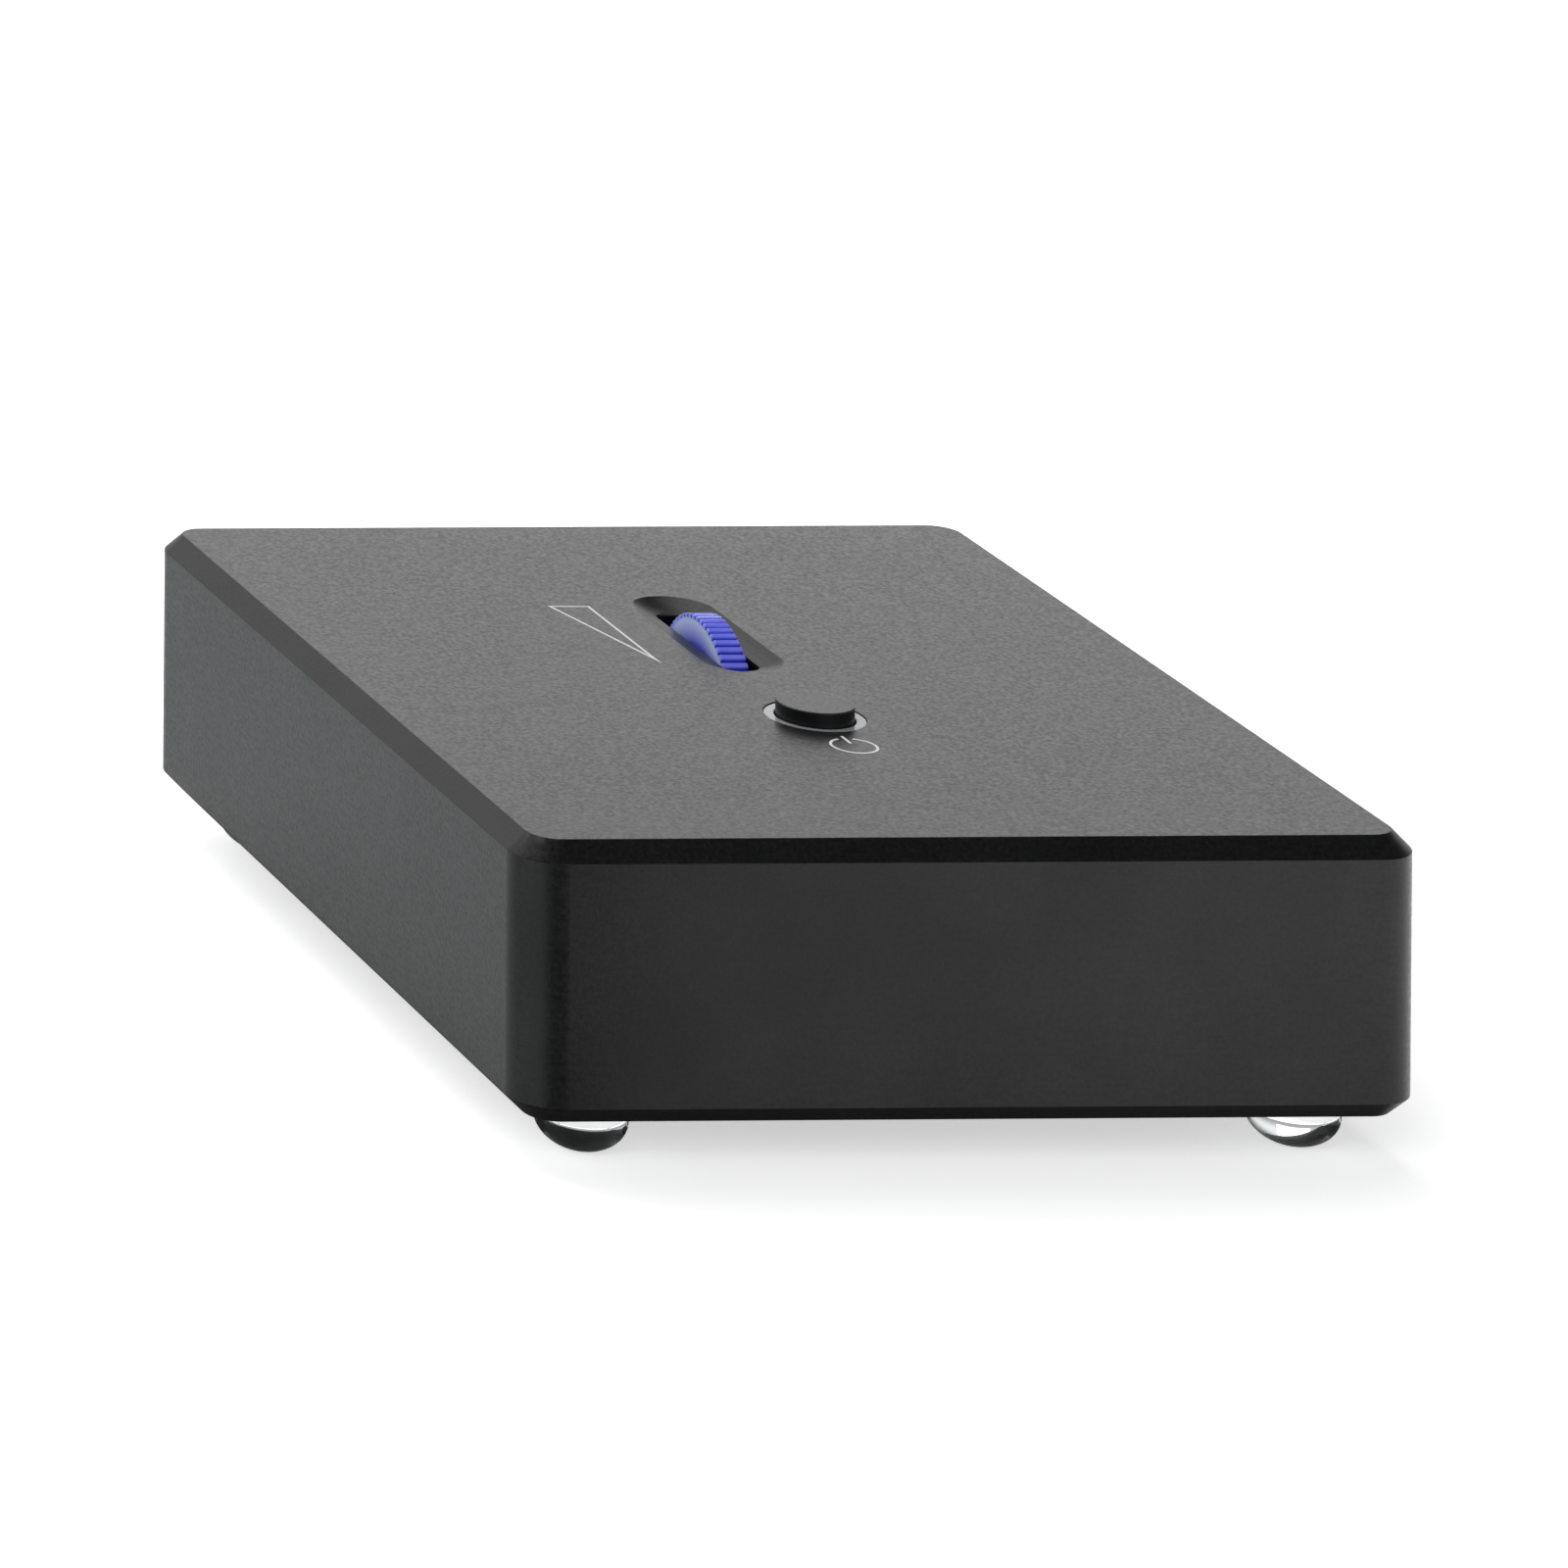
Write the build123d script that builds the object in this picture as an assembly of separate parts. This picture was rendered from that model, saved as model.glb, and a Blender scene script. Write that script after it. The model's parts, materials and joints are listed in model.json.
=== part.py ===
# Small two-channel phono preamplifier with a volume wheel and a headphone output.
# Millimetres. X runs to the right, Y to the rear and Z up. The origin is on the surface
# that the feet stand on, under the middle of the whole footprint, sockets included.
import os
from math import cos, pi, sin, sqrt

from build123d import *

# ---- case ----
case_width = 97.0
case_depth = 112.0
case_height = 30.0
corner_radius = 5.0
edge_chamfer = 2.0
side_wall = 4.0
front_wall = 4.0
rear_wall = 3.0
top_wall = 3.0
cavity_corner_radius = 3.0

# ---- base plate and feet ----
plate_thickness = 2.0
plate_gap = 0.15
plate_screw_radius = 1.5
plate_screw_length = 7.0
plate_screw_spread = 60.0
screw_boss_radius = 3.2
screw_boss_setback = 0.2
foot_diameter = 9.6
foot_height = 5.4
foot_skirt = 2.0
foot_contact_radius = 1.4
foot_side_inset = 10.0
foot_end_inset = 9.3

# ---- line on which the wheel, its recess and the button lie, to the right of the case's middle ----
control_x = 0.45

# ---- volume wheel and its recess, in the top ----
wheel_from_front = 69.4
wheel_diameter = 19.4
wheel_width = 2.9
wheel_proud = 2.1
wheel_ribs = 60
rib_height = 0.35
wheel_face_dish = 0.5
wheel_rim_thickness = 1.0
wheel_hub_radius = 3.2
recess_length = 27.4
recess_width = 9.3
recess_depth = 1.1
recess_setback = 0.5
wheel_gap = 0.65
slot_end_gap = 1.4
slot_corner_radius = 1.0
volume_shaft_radius = 1.5
shaft_gap = 0.05
pot_axis_height = 6.9
pot_size = 9.0
pot_pocket_gap = 0.3
pot_thickness = 5.5
pot_wheel_gap = 0.8

# ---- power button and its light ring ----
button_from_front = 41.3
button_diameter = 8.2
button_proud = 1.55
button_travel = 1.5
button_edge = 0.2
button_gap = 0.15
button_flange_radius = 5.0
button_flange_thickness = 1.0
button_stem_radius = 2.0
stem_gap = 0.1
stop_gap = 0.05
ring_outer_radius = 5.35
ring_gap = 0.03
ring_recess = 0.1
ring_flange_radius = 8.4
ring_flange_thickness = 0.8
plunger_side = 2.4
plunger_gap = 0.1
plunger_grip = 1.5
power_switch_side = 8.5
power_switch_height = 5.0
power_switch_floor = 0.8
spring_wire_radius = 0.25
spring_mean_radius = 2.8
spring_turns = 4.0
lamp_radius = 1.5
lamp_offset = 6.9
lamp_body_length = 4.2
lamp_gap = 0.3
lead_side = 0.5
lead_pitch = 1.6

# ---- boards ----
main_board_side_gap = 0.3
main_board_front_gap = 2.0
main_board_rear_gap = 1.0
board_thickness = 1.6
board_corner_radius = 1.0
standoff_height = 3.6
standoff_across_flats = 5.0
standoff_side_inset = 6.5
standoff_front_inset = 10.0
standoff_rear_inset = 17.0
small_screw_radius = 1.25
small_screw_length = 4.0
small_head_radius = 2.3
small_head_height = 1.4
hole_gap = 0.1
thread_gap = 0.05
overcut = 1.0
control_board_width = 34.0
control_board_front = 31.0
control_board_rear = 82.0
control_board_thickness = 1.2
control_screw_inset = 3.2
control_boss_radius = 2.9
wheel_window_gap = 0.9
link_pin_count = 8
link_pin_pitch = 2.54
link_pin_side = 0.64
link_pin_stub = 1.2
link_pin_floor = 0.5
link_socket_floor = 0.3
link_socket_width = 2.5
link_socket_gap = 0.8
link_from_front = 35.0

# ---- phono sockets, in a row along the rear ----
socket_height = 15.0
row_end_gap = 0.1
sleeve_radius = 4.15
sleeve_length = 9.2
sleeve_bore_radius = 3.3
shell_flange_radius = 5.4
shell_flange_thickness = 1.0
shell_neck_radius = 3.9
shell_neck_gap = 0.1
colour_ring_radius = 5.8
colour_ring_thickness = 0.8
socket_nut_across_flats = 10.0
socket_nut_thickness = 2.4
shell_tail = 1.4
contact_bore_radius = 1.65
contact_wall = 0.45
contact_bore_length = 9.0
contact_setback = 2.0
contact_mouth_gap = 0.3
insulator_setback = 0.3
contact_tail_radius = 0.5
contact_tail_reach = 2.2

# ---- headphone jack ----
headphone_bore_radius = 1.8
headphone_bore_length = 15.0
headphone_neck_radius = 3.0
headphone_neck_proud = 3.4
headphone_nut_radius = 4.3
headphone_nut_thickness = 2.2
headphone_body_width = 8.4
headphone_body_depth = 13.0
headphone_body_above_axis = 4.0

# ---- power inlet ----
inlet_neck_radius = 4.2
inlet_proud = 0.5
inlet_bore_radius = 3.15
inlet_bore_length = 9.5
inlet_pin_radius = 1.0
inlet_pin_setback = 0.8
inlet_pin_anchor = 2.0
inlet_pin_anchor_radius = 0.7
inlet_body_width = 9.0
inlet_body_depth = 11.5
inlet_body_above_axis = 5.0
panel_hole_gap = 0.1

# ---- ground post ----
ground_stud_radius = 2.0
ground_flange_radius = 3.8
ground_flange_thickness = 1.0
ground_stud_stub = 0.8
ground_washer_radius = 3.8
ground_washer_thickness = 0.6
ground_nut_radius = 3.9
ground_nut_length = 4.6
ground_nut_gap = 0.05
ground_nut_flutes = 24
ground_flute_depth = 0.25
ground_nut_lift = 1.4
ground_lock_nut_across_flats = 6.0
ground_lock_nut_thickness = 2.0
ground_stud_tail = 1.5

# ---- cartridge switch, reached through the base plate ----
cartridge_switch_x = 12.0
cartridge_switch_from_front = 78.0
cartridge_case_length = 9.0
cartridge_case_width = 4.4
cartridge_case_height = 3.0
cartridge_case_wall = 0.5
cartridge_travel = 2.0
slider_base_length = 4.4
slider_base_thickness = 1.2
slider_lever_length = 1.8
slider_lever_width = 1.4
slider_gap = 0.1
slider_setback = 0.5
window_gap = 0.5

# ---- parts on the main board ----
filter_capacitor_radius = 5.0
filter_capacitor_height = 12.5
filter_capacitor_edge = 0.5
filter_capacitor_side_inset = 9.5
filter_capacitor_front_inset = 18.0
filter_capacitor_pitch = 12.0
film_capacitor_size = (7.2, 3.4, 7.4)
film_capacitor_side_inset = 8.0
film_capacitor_gap = 6.0
film_capacitor_pitch = 5.2
film_capacitor_count = 6
chip_size = (6.4, 9.4, 3.3)
chip_standoff = 0.6
chip_leg_side = 0.5
chip_leg_pitch = 2.54
chip_legs_a_side = 4
chip_x = 9.0
chip_front_inset = 15.0
chip_rear_inset = 17.0
relay_size = (10.0, 20.0, 9.8)
relay_edge = 0.5
relay_side_inset = 9.5
relay_gap = 4.0
regulator_size = (10.0, 4.4, 9.0)
regulator_tab_thickness = 1.3
regulator_tab_height = 14.5
regulator_hole_radius = 1.8
regulator_side_inset = 10.5
regulator_rear_inset = 26.0
resistor_radius = 0.95
resistor_lead_radius = 0.25
resistor_length = 4.2
resistor_span = 7.6
resistor_lift = 1.1
resistor_pitch = 3.2
resistor_count = 8
resistor_front_inset = 5.5

# ---- levels and lines worked out from the sizes above ----
socket_reach = colour_ring_thickness + shell_flange_thickness + sleeve_length
ground_clamp_length = ground_washer_thickness + ground_nut_length + ground_nut_lift
ground_reach = ground_flange_thickness + ground_clamp_length + ground_stud_stub
rear_reach = max(socket_reach, ground_reach)
case_front = -(case_depth + rear_reach) / 2
case_back = case_front + case_depth
case_middle = case_front + case_depth / 2
case_bottom = foot_height
case_top = case_bottom + case_height
ceiling = case_top - top_wall
cavity_side = case_width / 2 - side_wall
plate_screw_x = cavity_side - screw_boss_radius - screw_boss_setback
cavity_front = case_front + front_wall
cavity_back = case_back - rear_wall
plate_top = case_bottom + plate_thickness
main_board_bottom = plate_top + standoff_height
main_board_top = main_board_bottom + board_thickness
socket_axis = case_bottom + socket_height
wheel_radius = wheel_diameter / 2
wheel_y = case_front + wheel_from_front
wheel_axis = case_top + wheel_proud - wheel_radius
slot_width = wheel_width + 2 * wheel_gap
axis_below_ceiling = max(ceiling - wheel_axis, 0)
slot_length = 2 * (sqrt(wheel_radius**2 - axis_below_ceiling**2) + slot_end_gap)
recess_y = wheel_y + recess_setback
control_board_top = wheel_axis - pot_axis_height
control_board_bottom = control_board_top - control_board_thickness
button_y = case_front + button_from_front
button_radius = button_diameter / 2
button_top = case_top + button_proud
ring_bottom = ceiling - ring_flange_thickness
flange_top = ring_bottom - stop_gap
flange_bottom = flange_top - button_flange_thickness
switch_top = control_board_top + power_switch_height
stem_bottom = switch_top + button_travel + stem_gap
main_board_side = plate_screw_x - screw_boss_radius - main_board_side_gap
main_board_front = cavity_front + main_board_front_gap
main_board_back = cavity_back - main_board_rear_gap
cartridge_case_bottom = main_board_bottom - cartridge_case_height
cartridge_switch_y = case_front + cartridge_switch_from_front
link_y = case_front + link_from_front

# Widths that the pieces of the rear row take up, from the right side to the left.
rear_row = {
    "ground": 2 * ground_nut_radius,
    "input_left": 2 * colour_ring_radius,
    "input_right": 2 * colour_ring_radius,
    "output_left": 2 * colour_ring_radius,
    "output_right": 2 * colour_ring_radius,
    "headphone": 2 * headphone_nut_radius,
    "inlet": inlet_body_width,
}
row_end = cavity_side - cavity_corner_radius - row_end_gap
row_gap = (2 * row_end - sum(rear_row.values())) / (len(rear_row) - 1)
row_x = {}
row_edge = row_end
for name, width in rear_row.items():
    row_x[name] = row_edge - width / 2
    row_edge -= width + row_gap
socket_x = {name: x for name, x in row_x.items() if name.startswith(("input", "output"))}
headphone_x = row_x["headphone"]
inlet_x = row_x["inlet"]
ground_x = row_x["ground"]

foot_places = {
    "front_left": (-1, case_front + foot_end_inset),
    "front_right": (1, case_front + foot_end_inset),
    "rear_left": (-1, case_back - foot_end_inset),
    "rear_right": (1, case_back - foot_end_inset),
}
plate_screw_places = [
    (side * plate_screw_x, case_middle + end * plate_screw_spread / 2)
    for side in (-1, 1)
    for end in (-1, 1)
]
standoff_places = [
    (side * (main_board_side - standoff_side_inset), y)
    for side in (-1, 1)
    for y in (main_board_front + standoff_front_inset, main_board_back - standoff_rear_inset)
]
control_screw_places = [
    (side * (control_board_width / 2 - control_screw_inset), y)
    for side in (-1, 1)
    for y in (
        case_front + control_board_front + control_screw_inset,
        case_front + control_board_rear - control_screw_inset,
    )
]

upward = (Align.CENTER, Align.CENTER, Align.MIN)


def post(radius, low, high, x=0.0, y=0.0):
    """Round bar that stands along Z."""
    return Pos(x, y, low) * Cylinder(radius, high - low, align=upward)


def rod_y(radius, front, back, x, z):
    """Round bar that lies along Y."""
    return Pos(x, front, z) * Rot(-90, 0, 0) * Cylinder(radius, back - front, align=upward)


def rod_x(radius, left, right, y, z):
    """Round bar that lies along X."""
    return Pos(left, y, z) * Rot(0, 90, 0) * Cylinder(radius, right - left, align=upward)


def block(x_range, y_range, z_range):
    """Box between two corners."""
    size = [high - low for low, high in (x_range, y_range, z_range)]
    corner = Pos(x_range[0], y_range[0], z_range[0])
    return corner * Box(*size, align=(Align.MIN, Align.MIN, Align.MIN))


def centred_block(x, y, width, depth, low, high):
    """Box about a vertical line."""
    return Pos(x, y, low) * Box(width, depth, high - low, align=upward)


def rounded_slab(width, depth, radius, low, high, y):
    """Flat slab with round vertical corners, about the middle plane."""
    return Pos(0, y, low) * extrude(RectangleRounded(width, depth, radius), high - low)


def hexagon_y(across_flats, front, back, x, z):
    """Hexagonal bar that lies along Y."""
    outline = RegularPolygon(across_flats / 2, 6, major_radius=False, rotation=30)
    return Pos(x, front, z) * Rot(-90, 0, 0) * extrude(outline, back - front)


def countersunk_screw(radius, length, x, y, head_face):
    """Screw that points up, with its conical head flush in the face below it."""
    head = Pos(x, y, head_face) * Cone(2 * radius, radius, radius, align=upward)
    return head + post(radius, head_face + radius, head_face + length, x, y)


def countersink(radius, length, x, y, face):
    """Hole for a countersunk screw."""
    wide = radius + hole_gap
    mouth = Pos(x, y, face) * Cone(2 * radius, radius, radius, align=upward)
    return mouth + post(wide, face, face + length, x, y)


def pan_screw(x, y, seat, length, down):
    """Pan-head screw whose head sits on the level named seat."""
    way = -1 if down else 1
    levels = sorted((seat, seat + way * length))
    head_levels = sorted((seat, seat - way * small_head_height))
    return post(small_screw_radius, *levels, x, y) + post(small_head_radius, *head_levels, x, y)


def wheel_scoop():
    """Finger recess: the cut that a ball-nosed cutter leaves when it runs along Y."""
    half_width = recess_width / 2
    cutter_radius = (half_width**2 + recess_depth**2) / (2 * recess_depth)
    height = case_top - recess_depth + cutter_radius
    run = (recess_length - recess_width) / 2
    scoop = rod_y(cutter_radius, recess_y - run, recess_y + run, control_x, height)
    for end in (-run, run):
        scoop += Pos(control_x, recess_y + end, height) * Sphere(cutter_radius)
    return scoop


def pot_block(gap):
    """Room of the volume potentiometer, with a gap all round."""
    left = control_x + wheel_width / 2 + pot_wheel_gap
    half = pot_size / 2 + gap
    x_range = (left - gap, left + pot_thickness + gap)
    return block(x_range, (wheel_y - half, wheel_y + half), (control_board_top, wheel_axis + half))


def rear_openings():
    """Holes in the rear wall, one for each socket, jack, inlet and post."""
    back = (cavity_back - overcut, case_back + overcut)
    holes = []
    for x in socket_x.values():
        holes.append(rod_y(shell_neck_radius + shell_neck_gap, *back, x, socket_axis))
    holes.append(rod_y(headphone_neck_radius + panel_hole_gap, *back, headphone_x, socket_axis))
    holes.append(rod_y(inlet_neck_radius + panel_hole_gap, *back, inlet_x, socket_axis))
    holes.append(rod_y(ground_stud_radius + panel_hole_gap, *back, ground_x, socket_axis))
    return holes


def case_body():
    """Case milled from one block, open below."""
    body = rounded_slab(case_width, case_depth, corner_radius, case_bottom, case_top, case_middle)
    rims = body.edges().group_by(Axis.Z)
    body = chamfer(rims[0] + rims[-1], edge_chamfer)
    cavity_middle = (cavity_front + cavity_back) / 2
    cavity_depth = cavity_back - cavity_front
    body -= rounded_slab(
        2 * cavity_side, cavity_depth, cavity_corner_radius, case_bottom, ceiling, cavity_middle
    )
    for x, y in plate_screw_places:
        side = 1 if x > 0 else -1
        wall = sorted((x, side * (cavity_side + side_wall / 2)))
        levels = (plate_top, ceiling)
        boss = post(screw_boss_radius, *levels, x, y)
        boss += block(wall, (y - screw_boss_radius, y + screw_boss_radius), levels)
        body += boss
        screw_end = case_bottom + plate_screw_length
        body -= post(plate_screw_radius + thread_gap, plate_top, screw_end, x, y)
    for x, y in control_screw_places:
        body += post(control_boss_radius, control_board_top, ceiling, x, y)
        screw_end = control_board_bottom + small_screw_length
        body -= post(small_screw_radius + thread_gap, control_board_top, screw_end, x, y)
    body -= wheel_scoop()
    body -= pot_block(pot_pocket_gap)
    slot = RectangleRounded(slot_width, slot_length, slot_corner_radius)
    body -= Pos(control_x, recess_y, ceiling - overcut) * extrude(slot, top_wall + 2 * overcut)
    ring_hole = (ceiling - overcut, case_top + overcut)
    body -= post(ring_outer_radius + ring_gap, *ring_hole, control_x, button_y)
    for hole in rear_openings():
        body -= hole
    return body


def base_plate():
    """Flat plate that closes the case from below."""
    depth = cavity_back - cavity_front - 2 * plate_gap
    width = 2 * (cavity_side - plate_gap)
    middle = (cavity_front + cavity_back) / 2
    radius = cavity_corner_radius - plate_gap
    plate = rounded_slab(width, depth, radius, case_bottom, plate_top, middle)
    for x, y in plate_screw_places:
        plate -= countersink(plate_screw_radius, plate_thickness, x, y, case_bottom)
    for x, y in standoff_places:
        plate -= countersink(small_screw_radius, plate_thickness, x, y, case_bottom)
    window_length = slider_lever_length + cartridge_travel + 2 * window_gap
    window_width = slider_lever_width + 2 * window_gap
    window_x = cartridge_switch_x + cartridge_travel / 2
    plate -= centred_block(
        window_x, cartridge_switch_y, window_length, window_width, case_bottom, plate_top
    )
    return plate


def base_screws():
    """Four screws that hold the base plate to the case."""
    length = plate_screw_length - hole_gap
    return [countersunk_screw(plate_screw_radius, length, x, y, case_bottom) for x, y in plate_screw_places]


def foot(side, y):
    """Clear bumper: a straight skirt, then a flattened dome with a small flat where it stands."""
    radius = foot_diameter / 2
    skirt_bottom = foot_height - foot_skirt
    dome_depth = skirt_bottom / sqrt(1 - (foot_contact_radius / radius) ** 2)
    x = side * (case_width / 2 - foot_side_inset)
    dome = Pos(x, y, skirt_bottom) * scale(Sphere(radius), by=(1, 1, dome_depth / radius))
    dome &= post(radius, 0, skirt_bottom, x, y)
    return dome + post(radius, skirt_bottom, foot_height, x, y)


def ribbed_outline(crest, depth, count):
    """Round outline with square-shouldered ribs."""
    root = crest - depth
    points = []
    for index in range(count):
        for share, radius in ((0.00, root), (0.30, root), (0.42, crest), (0.88, crest)):
            angle = 2 * pi * (index + share) / count
            points.append((radius * cos(angle), radius * sin(angle)))
    return make_face(Polyline(*points, close=True))


def volume_wheel():
    """Ribbed thumbwheel on a hub, dished on both faces."""
    outline = ribbed_outline(wheel_radius, rib_height, wheel_ribs)
    left_face, right_face = control_x - wheel_width / 2, control_x + wheel_width / 2
    wheel = Pos(left_face, wheel_y, wheel_axis) * Rot(0, 90, 0) * extrude(outline, wheel_width)
    dish_radius = wheel_radius - rib_height - wheel_rim_thickness
    for left in (left_face, right_face - wheel_face_dish):
        right = left + wheel_face_dish
        dish = rod_x(dish_radius, left, right, wheel_y, wheel_axis)
        wheel -= dish - rod_x(wheel_hub_radius, left, right, wheel_y, wheel_axis)
    return wheel - rod_x(volume_shaft_radius, left_face, right_face, wheel_y, wheel_axis)


def volume_shaft():
    """Shaft that the wheel is pressed on, running in the pot's case."""
    left = control_x - wheel_width / 2
    right = left + wheel_width + pot_wheel_gap + pot_thickness
    return rod_x(volume_shaft_radius, left, right, wheel_y, wheel_axis)


def volume_pot_case():
    """Square potentiometer case that stands on the control board beside the wheel."""
    left = control_x + wheel_width / 2 + pot_wheel_gap
    right = left + pot_thickness
    return pot_block(0) - rod_x(volume_shaft_radius + shaft_gap, left, right, wheel_y, wheel_axis)


def power_button():
    """Round cap with a flange that stops it under the light ring, and a stem below."""
    cap = post(button_radius, flange_top, button_top, control_x, button_y)
    cap = fillet(cap.edges().group_by(Axis.Z)[-1], button_edge)
    cap += post(button_flange_radius, flange_bottom, flange_top, control_x, button_y)
    cap += post(button_stem_radius, stem_bottom, flange_bottom, control_x, button_y)
    grip_top = stem_bottom + plunger_grip
    return cap - centred_block(control_x, button_y, plunger_side, plunger_side, stem_bottom, grip_top)


def button_plunger():
    """Square plunger between the cap's stem and the switch."""
    low = control_board_top + power_switch_floor + button_travel + plunger_gap
    high = stem_bottom + plunger_grip
    return centred_block(control_x, button_y, plunger_side, plunger_side, low, high)


def power_switch_case():
    """Switch case on the control board, with the shaft that the plunger runs in."""
    side = power_switch_side
    case = centred_block(control_x, button_y, side, side, control_board_top, switch_top)
    hole_side = plunger_side + 2 * plunger_gap
    floor = control_board_top + power_switch_floor
    return case - centred_block(control_x, button_y, hole_side, hole_side, floor, switch_top)


def button_spring():
    """Coil spring round the stem, from the switch case to the cap's flange."""
    low = switch_top + spring_wire_radius
    height = flange_bottom - spring_wire_radius - low
    path = Helix(height / spring_turns, height, spring_mean_radius)
    section = Plane(path @ 0, z_dir=path % 0) * Circle(spring_wire_radius)
    return Pos(control_x, button_y, low) * sweep(section, path, is_frenet=True)


def light_ring():
    """Opal ring round the button, flanged under the top wall to gather the lamps' light."""
    ring = post(ring_outer_radius, ring_bottom, case_top - ring_recess, control_x, button_y)
    ring += post(ring_flange_radius, ring_bottom, ceiling, control_x, button_y)
    return ring - post(button_radius + button_gap, ring_bottom, case_top, control_x, button_y)


def ring_lamps():
    """Two lamps on tall leads under the light ring's flange."""
    lamps = []
    top = ring_bottom - lamp_gap
    for side in (-1, 1):
        x = control_x + side * lamp_offset
        dome_centre = top - lamp_radius
        bottom = top - lamp_body_length
        lamp = post(lamp_radius, bottom, dome_centre, x, button_y)
        lamp += Pos(x, button_y, dome_centre) * Sphere(lamp_radius)
        for way in (-1, 1):
            y = button_y + way * lead_pitch / 2
            lamp += centred_block(x, y, lead_side, lead_side, control_board_top, bottom)
        lamps.append(lamp)
    return lamps


def control_board():
    """Board under the top wall that carries the wheel's pot, the switch and the lamps."""
    middle = case_front + (control_board_front + control_board_rear) / 2
    depth = control_board_rear - control_board_front
    levels = (control_board_bottom, control_board_top)
    board = rounded_slab(control_board_width, depth, board_corner_radius, *levels, middle)
    for x, y in control_screw_places:
        board -= post(small_screw_radius + hole_gap, *levels, x, y)
    drop = wheel_axis - control_board_bottom
    half_chord = sqrt(max(wheel_radius**2 - (wheel_axis - control_board_top) ** 2, 0))
    if drop > 0 and half_chord > 0:
        window_length = 2 * (half_chord + wheel_window_gap)
        board -= centred_block(control_x, wheel_y, slot_width, window_length, *levels)
    for x in link_pin_places():
        board -= centred_block(x, link_y, link_pin_side, link_pin_side, *levels)
    return board


def control_screws():
    """Four screws that hold the control board to the bosses under the top wall."""
    length = small_screw_length - hole_gap
    return [pan_screw(x, y, control_board_bottom, length, False) for x, y in control_screw_places]


def link_pin_places():
    """Where the pins between the two boards stand, along X."""
    first = -(link_pin_count - 1) * link_pin_pitch / 2
    return [first + index * link_pin_pitch for index in range(link_pin_count)]


def link_socket():
    """Socket strip on the main board that takes the link pins."""
    length = link_pin_count * link_pin_pitch
    top = control_board_bottom - link_socket_gap
    strip = centred_block(0, link_y, length, link_socket_width, main_board_top, top)
    for x in link_pin_places():
        floor = main_board_top + link_socket_floor
        strip -= centred_block(x, link_y, link_pin_side, link_pin_side, floor, top)
    return strip


def link_pins():
    """Pins soldered into the control board, reaching down into the socket strip."""
    low = main_board_top + link_pin_floor
    high = control_board_top + link_pin_stub
    side = link_pin_side
    return [centred_block(x, link_y, side, side, low, high) for x in link_pin_places()]


def main_board():
    """Main circuit board, standing on four standoffs over the base plate."""
    levels = (main_board_bottom, main_board_top)
    middle = (main_board_front + main_board_back) / 2
    depth = main_board_back - main_board_front
    board = rounded_slab(2 * main_board_side, depth, board_corner_radius, *levels, middle)
    for x, y in standoff_places:
        board -= post(small_screw_radius + hole_gap, *levels, x, y)
    return board


def board_standoffs():
    """Four hexagonal standoffs between the base plate and the main board."""
    outline = RegularPolygon(standoff_across_flats / 2, 6, major_radius=False)
    outline -= Circle(small_screw_radius + thread_gap)
    return [Pos(x, y, plate_top) * extrude(outline, standoff_height) for x, y in standoff_places]


def standoff_screws():
    """Countersunk screws up through the base plate into the standoffs."""
    length = plate_thickness + standoff_height / 2 - hole_gap
    return [countersunk_screw(small_screw_radius, length, x, y, case_bottom) for x, y in standoff_places]


def board_screws():
    """Screws down through the main board into the standoffs."""
    length = board_thickness + standoff_height / 2 - hole_gap
    return [pan_screw(x, y, main_board_top, length, True) for x, y in standoff_places]


shell_front = case_back + colour_ring_thickness
sleeve_mouth = shell_front + shell_flange_thickness + sleeve_length
shell_end = cavity_back - socket_nut_thickness - shell_tail
contact_mouth = sleeve_mouth - contact_setback
contact_radius = contact_bore_radius + contact_wall


def socket_shell(x):
    """Phono socket's outer contact: sleeve, flange and the neck through the wall."""
    shell = rod_y(sleeve_radius, shell_front, sleeve_mouth, x, socket_axis)
    flange_back = shell_front + shell_flange_thickness
    shell += rod_y(shell_flange_radius, shell_front, flange_back, x, socket_axis)
    shell += rod_y(shell_neck_radius, shell_end, shell_front, x, socket_axis)
    return shell - rod_y(sleeve_bore_radius, shell_end, sleeve_mouth, x, socket_axis)


def socket_insulator(x):
    """Insulator that fills the shell and holds the centre contact."""
    face = sleeve_mouth - insulator_setback
    insulator = rod_y(sleeve_bore_radius, shell_end, face, x, socket_axis)
    insulator -= rod_y(contact_radius, shell_end, contact_mouth, x, socket_axis)
    mouth_radius = contact_bore_radius + contact_mouth_gap
    return insulator - rod_y(mouth_radius, contact_mouth, face, x, socket_axis)


def socket_contact(x):
    """Centre contact: a tube for the plug's pin, with a tail soldered to the board."""
    contact = rod_y(contact_radius, shell_end, contact_mouth, x, socket_axis)
    bottom = contact_mouth - contact_bore_length
    contact -= rod_y(contact_bore_radius, bottom, contact_mouth, x, socket_axis)
    bend = shell_end - contact_tail_reach
    contact += rod_y(contact_tail_radius, bend, shell_end, x, socket_axis)
    contact += Pos(x, bend, socket_axis) * Sphere(contact_tail_radius)
    return contact + post(contact_tail_radius, main_board_top, socket_axis, x, bend)


def colour_rings(channel):
    """Coloured washers under the flanges of one channel's two sockets."""
    rings = []
    for name, x in socket_x.items():
        if name.endswith(channel):
            ring = rod_y(colour_ring_radius, case_back, shell_front, x, socket_axis)
            hole_radius = shell_neck_radius + shell_neck_gap
            rings.append(ring - rod_y(hole_radius, case_back, shell_front, x, socket_axis))
    return rings


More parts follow.
